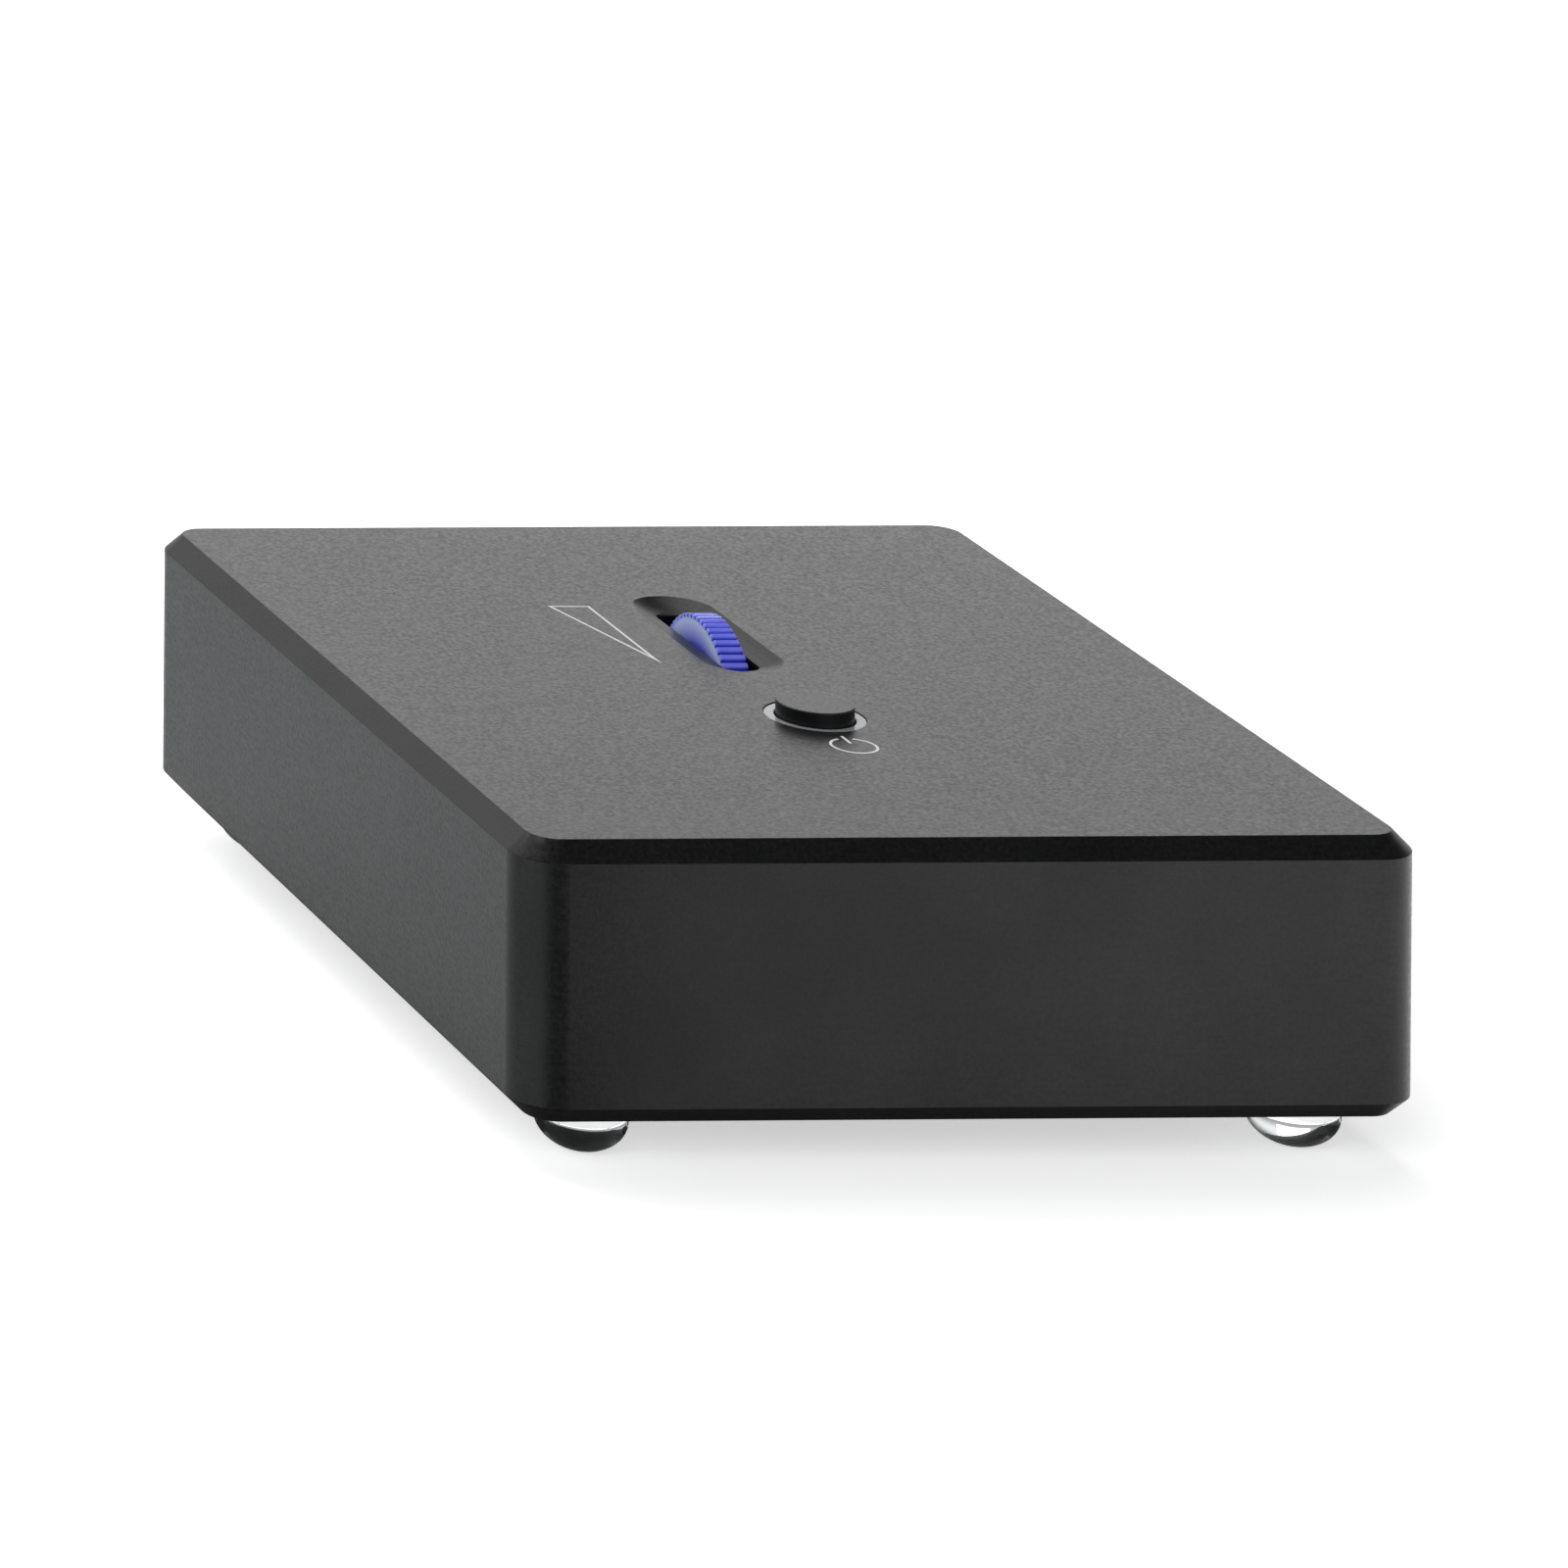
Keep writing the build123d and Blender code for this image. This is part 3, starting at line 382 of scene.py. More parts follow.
def turned(profile, middle, axis, segments, ripple=None):
    # a profile carried round an axis:
    # place = middle + s * axis + (r + w * ripple(t)) * (cos t * sideways + sin t * up),
    # with radius r, length s and ripple share w along the profile, and the angle t round the axis
    profile = np.asarray(profile, float)
    angle = np.linspace(0, 2 * pi, segments, endpoint=False)
    radius = np.repeat(profile[:, :1], segments, 1)
    if ripple is not None:
        radius = radius + profile[:, 2:3] * ripple(angle)[None, :]
    along, sideways, up = axisFrames[axis]
    outwards = np.cos(angle)[:, None] * sideways + np.sin(angle)[:, None] * up
    points = np.asarray(middle, float) + profile[:, 1, None, None] * along + radius[..., None] * outwards
    return points, gridFaces(len(profile), segments, True)


def addPiece(name, shape, body, slot, sharp, replaces=(), finish=None):
    # the corners are millimetres
    points, faces = shape
    mesh = bpy.data.meshes.new(name)
    mesh.from_pydata((points.reshape(-1, 3) * mm).tolist(), [], faces.tolist())
    return finishPiece(name, mesh, body, slot, sharp, replaces, finish)


mergeWithin = 2e-7  # metres


def finishPiece(name, mesh, body, slot, sharp, replaces=(), finish=None):
    # doubles at seams and poles are merged, the faces turned outwards and edges past sharp degrees kept hard;
    # the piece takes its slot's finish, or another one
    shape = bmesh.new()
    shape.from_mesh(mesh)
    bmesh.ops.remove_doubles(shape, verts=shape.verts, dist=mergeWithin)
    bmesh.ops.dissolve_degenerate(shape, edges=shape.edges, dist=mergeWithin)
    bmesh.ops.recalc_face_normals(shape, faces=shape.faces)
    shape.to_mesh(mesh)
    shape.free()
    mesh.shade_smooth()
    mesh.set_sharp_from_angle(angle=radians(sharp))
    mesh.materials.clear()
    mesh.materials.append(finishFor(finish or slot))
    piece = bpy.data.objects.new(name, mesh)
    scene.collection.objects.link(piece)
    even = piece.modifiers.new("evenShading", "WEIGHTED_NORMAL")
    even.keep_sharp = True
    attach(piece, body)
    if replaces:
        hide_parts(*replaces)
    return piece


def nodeBox(name):
    # middle and half size of a node, in millimetres
    low, high = (np.array(corner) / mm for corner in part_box(name))
    return (low + high) / 2, (high - low) / 2


def nodeLevels(name, axis):
    # where a node starts and ends along an axis, 0 to 2, in millimetres
    middle, half = nodeBox(name)
    return middle[axis] - half[axis], middle[axis] + half[axis]


def tone(red, green, blue):
    # a colour as a screen shows it, 0 to 255, made linear
    share = np.array((red, green, blue)) / 255
    linear = np.where(share > 0.04045, ((share + 0.055) / 1.055) ** 2.4, share / 12.92)
    return (*linear.tolist(), 1.0)


# colour and second are the two tones that drift over mottle millimetres; grain is the size of the fine
# roughness and depth its height, in millimetres; stretch draws the grain out; shader sets the sockets
finishes = {
    "case_metal": {
        "colour": tone(47, 47, 47), "second": tone(51, 51, 51), "mottle": 11.0, "grain": 0.45,
        "depth": 0.012, "roughness": (0.28, 0.42), "shader": {"Metallic": 0.85},
    },
    "plate_paint": {
        "colour": tone(90, 92, 92), "second": tone(97, 99, 99), "mottle": 9.0, "grain": 0.35,
        "depth": 0.03, "roughness": (0.5, 0.65),
    },
    "dark_screws": {
        "colour": tone(52, 52, 55), "second": tone(64, 64, 66), "mottle": 1.5, "grain": 0.1,
        "depth": 0.004, "roughness": (0.28, 0.42), "shader": {"Metallic": 1.0},
    },
    "bright_screws": {
        "colour": tone(190, 192, 196), "second": tone(170, 174, 182), "mottle": 2.0, "grain": 0.12,
        "depth": 0.004, "roughness": (0.24, 0.38), "shader": {"Metallic": 1.0},
    },
    "wheel_plastic": {
        "colour": tone(110, 118, 226), "second": tone(122, 130, 232), "mottle": 2.5, "grain": 0.2,
        "depth": 0.003, "roughness": (0.04, 0.1),
        "shader": {
            "Subsurface Weight": 0.6, "Subsurface Radius": (0.4, 0.4, 1.0), "Subsurface Scale": 0.0012,
        },
    },
    "shaft_metal": {
        "colour": tone(176, 178, 182), "second": tone(160, 162, 166), "mottle": 2.0, "grain": 0.08,
        "depth": 0.003, "stretch": (0.2, 1.0, 1.0), "roughness": (0.26, 0.38), "shader": {"Metallic": 1.0},
    },
    "button_metal": {
        "colour": tone(48, 49, 50), "second": tone(52, 53, 54), "mottle": 3.0, "grain": 0.3,
        "depth": 0.008, "roughness": (0.28, 0.4), "shader": {"Metallic": 0.85},
    },
    "ring_plastic": {
        "colour": tone(146, 149, 152), "second": tone(138, 142, 146), "mottle": 1.6, "grain": 0.2,
        "depth": 0.004, "roughness": (0.14, 0.2),
        "shader": {
            "Subsurface Weight": 0.3, "Subsurface Radius": (1.0, 1.0, 1.0), "Subsurface Scale": 0.0006,
        },
    },
    "foot_plastic": {
        "colour": tone(250, 252, 252), "second": tone(244, 248, 250), "mottle": 2.5, "grain": 0.9,
        "depth": 0.0015, "roughness": (0.01, 0.05), "shader": {"Transmission Weight": 1.0, "IOR": 1.42},
    },
    "switch_plastic": {
        "colour": tone(42, 42, 44), "second": tone(50, 50, 52), "mottle": 1.6, "grain": 0.15,
        "depth": 0.006, "roughness": (0.42, 0.56),
    },
    "slider_plastic": {
        "colour": tone(226, 226, 222), "second": tone(214, 214, 208), "mottle": 1.2, "grain": 0.12,
        "depth": 0.004, "roughness": (0.38, 0.5),
    },
    "spring_steel": {
        "colour": tone(168, 168, 170), "second": tone(146, 147, 150), "mottle": 0.8, "grain": 0.06,
        "depth": 0.002, "roughness": (0.22, 0.36), "shader": {"Metallic": 1.0},
    },
    "lamp_resin": {
        "colour": tone(246, 244, 232), "second": tone(240, 238, 224), "mottle": 1.0, "grain": 0.4,
        "depth": 0.001, "roughness": (0.04, 0.1), "shader": {"Transmission Weight": 0.7, "IOR": 1.5},
    },
    "tin_plate": {
        "colour": tone(204, 206, 208), "second": tone(186, 188, 192), "mottle": 0.7, "grain": 0.1,
        "depth": 0.004, "roughness": (0.25, 0.4), "shader": {"Metallic": 1.0},
    },
    "socket_nickel": {
        "colour": tone(204, 200, 194), "second": tone(192, 189, 185), "mottle": 3.0, "grain": 0.1,
        "depth": 0.0015, "stretch": (1.0, 0.5, 1.0), "roughness": (0.16, 0.26), "shader": {"Metallic": 1.0},
    },
    "contact_gold": {
        "colour": tone(228, 190, 110), "second": tone(218, 176, 92), "mottle": 1.2, "grain": 0.1,
        "depth": 0.002, "roughness": (0.16, 0.28), "shader": {"Metallic": 1.0},
    },
    "insulator_plastic": {
        "colour": tone(44, 44, 45), "second": tone(52, 52, 53), "mottle": 1.5, "grain": 0.14,
        "depth": 0.005, "roughness": (0.42, 0.54),
    },
    "left_ring_plastic": {
        "colour": tone(228, 228, 224), "second": tone(218, 218, 213), "mottle": 1.8, "grain": 0.15,
        "depth": 0.004, "roughness": (0.36, 0.48),
    },
    "right_ring_plastic": {
        "colour": tone(190, 34, 32), "second": tone(174, 28, 28), "mottle": 1.8, "grain": 0.15,
        "depth": 0.004, "roughness": (0.36, 0.48),
    },
    "jack_plastic": {
        "colour": tone(34, 34, 36), "second": tone(41, 41, 43), "mottle": 1.8, "grain": 0.14,
        "depth": 0.005, "roughness": (0.36, 0.5),
    },
    "capacitor_sleeve": {
        "colour": tone(46, 52, 80), "second": tone(40, 46, 70), "mottle": 3.0, "grain": 0.5,
        "depth": 0.01, "roughness": (0.2, 0.32),
    },
    "film_case": {
        "colour": tone(172, 56, 44), "second": tone(160, 48, 38), "mottle": 2.0, "grain": 0.2,
        "depth": 0.006, "roughness": (0.32, 0.44),
    },
    "chip_resin": {
        "colour": tone(40, 40, 42), "second": tone(48, 48, 50), "mottle": 1.2, "grain": 0.12,
        "depth": 0.006, "roughness": (0.5, 0.64),
    },
    "relay_case": {
        "colour": tone(230, 228, 214), "second": tone(222, 219, 202), "mottle": 3.0, "grain": 0.2,
        "depth": 0.003, "roughness": (0.26, 0.36),
    },
    "resistor_paint": {
        "colour": tone(120, 168, 196), "second": tone(104, 152, 182), "mottle": 0.9, "grain": 0.12,
        "depth": 0.006, "roughness": (0.28, 0.42),
    },
    "board_laminate": {
        "colour": tone(22, 84, 52), "second": tone(34, 104, 66), "mottle": 1.1, "grain": 0.3,
        "depth": 0.01, "roughness": (0.24, 0.36),
    },
    "print_ink": {
        "colour": tone(226, 226, 226), "second": tone(214, 214, 214), "mottle": 0.6, "grain": 0.1,
        "depth": 0.003, "roughness": (0.5, 0.62),
    },
}
noiseDetail = {"grain": 2.0, "mottle": 3.0}
madeFinishes = {}


def addNoise(tree, vector, size, kind):
    # noise over the object's own place, one swell to each size in millimetres
    scale, detail = 1 / (size * mm), noiseDetail[kind]
    return addNode(tree, "ShaderNodeTexNoise", Vector=vector, Scale=scale, Detail=detail).outputs["Fac"]


# wallFacing is how far a normal may point up, from walls with all their lines to faces with none; recessReach
# is half the width and half the length of the recess's room, and depths are under the top, in millimetres
caseFinishLook = {
    "brush": (0.12, 0.12, 1.0),
    "brushGrain": 0.28,
    "brushShare": 0.5,
    "wallFacing": (0.2, 0.5),
    "speckle": 0.14,
    "recessReach": (5.5, 15.0),
    "recessRoughness": 0.4,
    "recessDepth": 0.1,
    "slotFrom": 1.0,
    "slotFade": 0.3,
    # slotShade is how much of its tone a slot wall keeps under the painted shade
    "slotShade": 0.25,
}


def caseFinish(tree, place, colour, grain):
    # blasted all over, with faint lines along the upright walls and painted shade on the slot's deep walls
    look = caseFinishLook
    normal = addNode(tree, "ShaderNodeNewGeometry").outputs["Normal"]
    upright = mathNode(tree, "ABSOLUTE", addNode(tree, "ShaderNodeSeparateXYZ", Vector=normal).outputs["Z"])
    wall = spread(tree, upright, 1.0, 0.0, *look["wallFacing"])
    brushed = addNode(tree, "ShaderNodeMapping", Vector=place, Scale=look["brush"]).outputs[0]
    lines = mathNode(tree, "SUBTRACT", addNoise(tree, brushed, look["brushGrain"], "grain"), 0.5)
    lines = mathNode(tree, "MULTIPLY", lines, look["brushShare"], wall)
    grain = mathNode(tree, "ADD", grain, lines)
    recess, paintedSlotShade = recessShares(tree, place)
    shade = spread(tree, grain, 1 - look["speckle"], 1 + look["speckle"])
    # painted shade: the slot's deep walls keep only slotShade of their tone
    kept = mathNode(tree, "SUBTRACT", 1.0, mathNode(tree, "MULTIPLY", paintedSlotShade, 1 - look["slotShade"]))
    shade = mathNode(tree, "MULTIPLY", shade, kept)
    return scaled(tree, colour, shade), grain, mathNode(tree, "MULTIPLY", recess, look["recessRoughness"])


def recessShares(tree, place):
    # within the wheel's room the milled recess is rougher than the top and the deep walls of the slot are
    # darkened with
    # painted shade: one share grows just below the top, the other below the recess
    look = caseFinishLook
    top = nodeLevels("case_body", 2)[1]
    slotTop = top - look["slotFrom"]
    wheelMiddle = nodeBox("volume_wheel")[0]
    spot = addNode(tree, "ShaderNodeSeparateXYZ", Vector=place).outputs
    below = spread(tree, spot["Z"], 1.0, 0.0, (top - look["recessDepth"]) * mm, top * mm)
    deep = spread(tree, spot["Z"], 1.0, 0.0, (slotTop - look["slotFade"]) * mm, slotTop * mm)
    inside = []
    for axis, centre, reach in zip("XY", wheelMiddle, look["recessReach"]):
        away = mathNode(tree, "ABSOLUTE", mathNode(tree, "SUBTRACT", spot[axis], centre * mm))
        inside.append(mathNode(tree, "LESS_THAN", away, reach * mm))
    near = mathNode(tree, "MULTIPLY", *inside)
    return mathNode(tree, "MULTIPLY", below, near), mathNode(tree, "MULTIPLY", deep, near)


# colours and roughness at distances from the axis, in millimetres; the faces grow paler outwards with painted
# sheen and deeper towards the hub with painted shade, and painted shade darkens the grooves; the ribs' crests
# keep the plastic's own
wheelFinishLook = {
    "deep": tone(96, 102, 226),
    "frosted": tone(208, 224, 255),
    "frostedRoughness": 0.4,
    "deepBelow": 6.4,
    "frostedFrom": 9.4,
    "ribsFacing": (0.8, 0.98),
    "clearFrom": 8.9,
    "clearTo": 9.7,
    "clearShare": 0.85,
    "grooves": tone(42, 46, 194),
    "groovesBelow": 9.33,
    "crestsFrom": 9.6,
}


def wheelFinish(tree, place, colour, roughness):
    # sideways faces are frosted, paler outwards with painted sheen and deeper towards the hub with painted
    # shade; the ribs round the rim are clear, with painted shade darkening their grooves deep blue
    look = wheelFinishLook
    fromMiddle = vectorNode(tree, "SUBTRACT", place, nodeBox("volume_wheel")[0] * mm)["Vector"]
    acrossAxis = vectorNode(tree, "MULTIPLY", fromMiddle, (0, 1, 1))["Vector"]
    radius = vectorNode(tree, "LENGTH", acrossAxis)["Value"]
    normal = addNode(tree, "ShaderNodeNewGeometry").outputs["Normal"]
    facing = addNode(tree, "ShaderNodeSeparateXYZ", Vector=normal).outputs["X"]
    sideways = mathNode(tree, "ABSOLUTE", facing)
    face = spread(tree, radius, 0.0, 1.0, look["deepBelow"] * mm, look["frostedFrom"] * mm)
    clear = spread(tree, radius, 0.0, look["clearShare"], look["clearFrom"] * mm, look["clearTo"] * mm)
    ribs = mathNode(tree, "MAXIMUM", spread(tree, sideways, 1.0, 0.0, *look["ribsFacing"]), clear)
    crests = spread(tree, radius, 0.0, 1.0, look["groovesBelow"] * mm, look["crestsFrom"] * mm)
    # painted sheen and shade: the faces run from deep blue at the hub to near white at the rim
    inner = blendTones(tree, face, look["deep"], look["frosted"])
    # painted shade: the grooves between the ribs are deep blue
    outer = blendTones(tree, crests, look["grooves"], colour)
    frost = mathNode(tree, "MULTIPLY", mathNode(tree, "SUBTRACT", 1.0, ribs), look["frostedRoughness"])
    return blendTones(tree, ribs, inner, outer), mathNode(tree, "MAXIMUM", roughness, frost)


def finishFor(slot):
    # one material for each slot: two tones that drift, a fine grain in roughness and height
    if slot in madeFinishes:
        return madeFinishes[slot]
    look = finishes[slot]
    words = slot.split("_")
    material = bpy.data.materials.new(words[0] + "".join(word.title() for word in words[1:]))
    material.use_nodes = True
    tree = material.node_tree
    place = addNode(tree, "ShaderNodeTexCoord").outputs["Object"]
    drawn = addNode(tree, "ShaderNodeMapping", Vector=place, Scale=look.get("stretch", (1, 1, 1))).outputs[0]
    grain = addNoise(tree, drawn, look["grain"], "grain")
    drift = spread(tree, addNoise(tree, place, look["mottle"], "mottle"), 0.0, 1.0)
    colour = blendTones(tree, drift, look["colour"], look["second"])
    if slot == "case_metal":
        colour, grain, rougher = caseFinish(tree, place, colour, grain)
    roughness = spread(tree, grain, *look["roughness"])
    if slot == "case_metal":
        roughness = mathNode(tree, "MAXIMUM", roughness, rougher)
    if slot == "wheel_plastic":
        colour, roughness = wheelFinish(tree, place, colour, roughness)
    bump = addNode(tree, "ShaderNodeBump", Strength=1.0, Distance=look["depth"] * mm, Height=grain)
    made = {"Base Color": colour, "Roughness": roughness, "Normal": bump.outputs["Normal"]}
    feedInputs(tree, tree.nodes["Principled BSDF"], made | look.get("shader", {}))
    madeFinishes[slot] = material
    return material


def dressNodes():
    # every node that still shows takes the finish of its slot
    for entry in frame["record"]["subparts"]:
        data = frame["nodes"][entry["node"]].data
        data.materials.clear()
        data.materials.append(finishFor(entry["material_slot"]))


# mergeWithin is metres, edgeBreak millimetres, and edges past edgeAngle degrees are broken
caseLook = {
    "mergeWithin": 1e-6, "flatAngle": 0.5,
    "edgeBreak": 0.14, "edgeSteps": 2, "edgeAngle": 18.0, "evenWeight": 80,
}


def caseShell():
    # the milled case with its edges broken: a merged copy of the solid, its flat parts joined, then bevelled
    mesh = frame["nodes"]["case_body"].data.copy()
    shape = bmesh.new()
    shape.from_mesh(mesh)
    bmesh.ops.remove_doubles(shape, verts=shape.verts, dist=caseLook["mergeWithin"])
    flat = radians(caseLook["flatAngle"])
    bmesh.ops.dissolve_limit(shape, angle_limit=flat, verts=shape.verts, edges=shape.edges)
    shape.to_mesh(mesh)
    shape.free()
    mesh.shade_smooth()
    mesh.set_sharp_from_angle(angle=radians(caseLook["edgeAngle"]))
    mesh.materials.clear()
    mesh.materials.append(finishFor("case_metal"))
    piece = bpy.data.objects.new("caseShell", mesh)
    scene.collection.objects.link(piece)
    edges = piece.modifiers.new("brokenEdges", "BEVEL")
    edges.width = caseLook["edgeBreak"] * mm
    edges.segments = caseLook["edgeSteps"]
    edges.limit_method = "ANGLE"
    edges.angle_limit = radians(caseLook["edgeAngle"])
    even = piece.modifiers.new("evenShading", "WEIGHTED_NORMAL")
    even.keep_sharp = False
    even.weight = caseLook["evenWeight"]
    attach(piece, "case")
    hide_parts("case_body")


# the marks printed on the top, in millimetres; they reach their thickness into the metal and out of it
marks = {
    "thickness": 0.02,
    "line": 0.3,
    "wedge": ((-13.6, 18.5), (-9.2, 18.4), (-9.25, -0.6)),
    "powerMiddle": (0.4, -30.3),
    "powerRadius": 2.4,
    "powerGap": 0.8,
    "powerBar": (-27.1, -29.5),
    "arcSteps": 64,
    "sharp": 40,
}


def printedLine(path, width, closed, low, high):
    # a flat line carried along a path: each side is path +- width / 2 * mitre,
    # with mitre = (n1 + n2) / (1 + n1 . n2) from the normals of the two runs that meet
    path = np.asarray(path, float)
    runs = np.roll(path, -1, 0) - path
    normals = np.stack((-runs[:, 1], runs[:, 0]), 1) / np.linalg.norm(runs, axis=1)[:, None]
    before = np.roll(normals, 1, 0)
    if not closed:
        normals[-1] = before[-1]
        before[0] = normals[0]
    mitre = (before + normals) / (1 + (before * normals).sum(1))[:, None]
    sides = [path + mitre * width / 2 * way for way in (1, 1, -1, -1)]
    levels = (low, high, high, low)
    ring = np.stack([np.column_stack((side, np.full(len(path), z))) for side, z in zip(sides, levels)], 1)
    if closed:
        return np.concatenate((ring, ring[:1])), gridFaces(len(path) + 1, 4, True)
    ends = np.array(((0, 1, 2, 3), (3, 2, 1, 0))) + np.array(((0,), (4 * (len(path) - 1),)))
    return ring, np.concatenate((gridFaces(len(path), 4, True), ends))


def printMarks():
    # the outline of a wedge, and the power sign: an arc (x + r cos t, y + r sin t) that is open by the gap to
    # each side of its top, and a bar in the opening
    caseTop = nodeLevels("case_body", 2)[1]
    levels = (caseTop - marks["thickness"], caseTop + marks["thickness"])
    wedge = printedLine(marks["wedge"], marks["line"], True, *levels)
    addPiece("volumeWedgeMark", wedge, "case", "ring_plastic", marks["sharp"], finish="print_ink")
    x, y = marks["powerMiddle"]
    gap = np.arcsin(marks["powerGap"] / marks["powerRadius"])
    angle = np.linspace(pi / 2 + gap, 5 * pi / 2 - gap, marks["arcSteps"])
    arc = np.stack((x + marks["powerRadius"] * np.cos(angle), y + marks["powerRadius"] * np.sin(angle)), 1)
    bar = [(x, place) for place in marks["powerBar"]]
    parts = [printedLine(path, marks["line"], False, *levels) for path in (arc, bar)]
    addPiece("powerMark", joined(parts), "case", "ring_plastic", marks["sharp"], finish="print_ink")


# millimetres, but crestShare and flankShare are shares of a rib and bevelRise one of ribDepth
wheelLook = {
    "ribs": 60,
    "ribDepth": 0.42,
    "crestShare": 0.46,
    "flankShare": 0.18,
    "stepsPerRib": 24,
    "edgeBevel": 0.07,
    "bevelRise": 0.95,
    "edgeSoftness": 0.06,
    "edgeSteps": 4,
    "faceHollow": 0.3,
    "faceSteps": 10,
    "hollowFrom": 9.0,
    "flatFrom": 9.02,
    "floorFrom": 3.8,
    "hubFoot": 3.3,
    "hubRadius": 3.2,
    "boreRadius": 1.5,
    "sharp": 55,
}


def volumeWheel():
    # profile across the wheel: hub, hollow face, rim, hollow face, hub; the face sinks by
    # hollow * cos(u * pi / 2) ** 2 with u from the hub outwards, and the ribs lift the rim by
    # depth * v * v * (3 - 2v), v = limit((crest / 2 + flank - |turn from the crest's middle|) / flank, 0, 1),
    # all in shares of a rib: flat crests with round shoulders, steep flanks and flat grooves
    look = wheelLook
    middle, half = nodeBox("volume_wheel")
    crest, side = half[2], half[0]
    depth = look["ribDepth"]
    root = crest - depth
    share = np.linspace(0, 1, look["faceSteps"])
    faceRadius = look["floorFrom"] + (look["hollowFrom"] - look["floorFrom"]) * share
    faceDepth = look["faceHollow"] * np.cos(share * pi / 2) ** 2
    face = np.stack((faceRadius, side - faceDepth, np.zeros_like(share)), 1)
    bevel = look["edgeBevel"]
    rim = [
        (look["flatFrom"], side, 0.0), (root - bevel, side, look["bevelRise"]), (root, side - bevel, 1.0),
        (root, 0.0, 1.0),
    ]
    hub = [
        (look["boreRadius"], 0.0, 0.0), (look["boreRadius"], side, 0.0), (look["hubRadius"], side, 0.0),
        (look["hubFoot"], side - look["faceHollow"], 0.0),
    ]
    halfProfile = np.concatenate((hub, face, softCorners(rim, look["edgeSoftness"], look["edgeSteps"])))
    other = halfProfile[::-1] * np.array((1, -1, 1))
    profile = np.concatenate((halfProfile, other[1:]))

    def ribs(angle):
        off = np.abs((angle * look["ribs"] / (2 * pi) + 0.5) % 1 - 0.5)
        rise = np.clip((look["crestShare"] / 2 + look["flankShare"] - off) / look["flankShare"], 0, 1)
        return depth * rise**2 * (3 - 2 * rise)

    shape = turned(profile, middle, "x", look["ribs"] * look["stepsPerRib"], ribs)
    addPiece("volumeWheelRibbed", shape, "wheel", "wheel_plastic", look["sharp"], ["volume_wheel"])


# the softness of a turned piece is that of each corner of its profile, in order
buttonLook = {
    "capRadius": 4.1, "stemRadius": 2.0, "plungerRoom": 1.7, "plungerDepth": 1.5, "flange": 1.0,
    "ringGap": 0.05, "softness": (0.02, 0.02, 0.02, 0.1, 0.1, 0.1, 0.05, 0.16), "cornerSteps": 6,
    "segments": 128, "sharp": 50,
}
ringLook = {
    "innerRadius": 4.25, "outerRadius": 5.35, "flangeThickness": 0.8, "edge": 0.12, "cornerSteps": 5,
    "segments": 128, "sharp": 50,
}


def eachCorner(look):
    # a softness for each corner, as a column beside the corners
    return np.array(look["softness"])[:, None]


def powerButton():
    # a cap, its flange and its stem, turned in one profile from the plunger's room to the middle of the cap
    look = buttonLook
    middle, half = nodeBox("power_button")
    low, top = nodeLevels("power_button", 2)
    flangeTop = nodeLevels("light_ring", 2)[0] - look["ringGap"]
    flangeBottom = flangeTop - look["flange"]
    room = low + look["plungerDepth"]
    corners = [
        (0.0, room), (look["plungerRoom"], room), (look["plungerRoom"], low),
        (look["stemRadius"], low), (look["stemRadius"], flangeBottom), (half[0], flangeBottom),
        (half[0], flangeTop), (look["capRadius"], flangeTop), (look["capRadius"], top), (0.0, top),
    ]
    profile = softCorners(corners, eachCorner(look), look["cornerSteps"])
    shape = turned(profile, (middle[0], middle[1], 0), "z", look["segments"])
    addPiece("powerButtonCap", shape, "button", "button_metal", look["sharp"], ["power_button"])


springLook = {"wireRadius": 0.25, "turns": 4, "stepsPerTurn": 36, "sides": 14, "sharp": 50}


def buttonSpring():
    # a wire carried along a helix: path = (R cos t, R sin t, climb * t),
    # wire = path + r * (cos a * out + sin a * across), where across is square to the path and to the way out
    look = springLook
    middle, half = nodeBox("button_spring")
    wire, turns, sides = look["wireRadius"], look["turns"], look["sides"]
    radius = half[0] - wire
    angle = np.linspace(0, 2 * pi * turns, turns * look["stepsPerTurn"] + 1)
    climb = 2 * (half[2] - wire) / angle[-1]
    out = np.stack((np.cos(angle), np.sin(angle), np.zeros_like(angle)), 1)
    along = np.stack((-radius * np.sin(angle), radius * np.cos(angle), np.full_like(angle, climb)), 1)
    across = np.cross(along, out) / np.linalg.norm(along, axis=1)[:, None]
    path = middle + out * radius + np.outer(climb * angle - half[2] + wire, (0, 0, 1))
    around = np.linspace(0, 2 * pi, sides, endpoint=False)[None, :, None]
    tube = path[:, None] + wire * (np.cos(around) * out[:, None] + np.sin(around) * across[:, None])
    ends = [np.repeat(path[end][None, None], sides, 1) for end in (0, -1)]
    shape = np.concatenate((ends[0], tube, ends[1])), gridFaces(len(path) + 2, sides, True)
    spring = addPiece("buttonSpringCoil", shape, "case", "spring_steel", look["sharp"], ["button_spring"])
    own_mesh(spring)


def lightRing():
    # an opal collar with a flange under the case's top
    look = ringLook
    middle, half = nodeBox("light_ring")
    low, top = nodeLevels("light_ring", 2)
    inner, outer, flange = look["innerRadius"], look["outerRadius"], low + look["flangeThickness"]
    seam = (inner, (low + top) / 2)
    corners = [
        seam, (inner, top), (outer, top), (outer, flange),
        (half[0], flange), (half[0], low), (inner, low), seam,
    ]
    profile = softCorners(corners, look["edge"], look["cornerSteps"])
    shape = turned(profile, (middle[0], middle[1], 0), "z", look["segments"])
    addPiece("lightRingCollar", shape, "case", "ring_plastic", look["sharp"], ["light_ring"])


footLook = {
    "skirt": 2.0, "contactRadius": 1.4, "domeSteps": 40, "rimFrom": 0.2, "rim": 0.12, "topGap": 0.03,
    "cornerSteps": 5, "segments": 128, "sharp": 40,
}


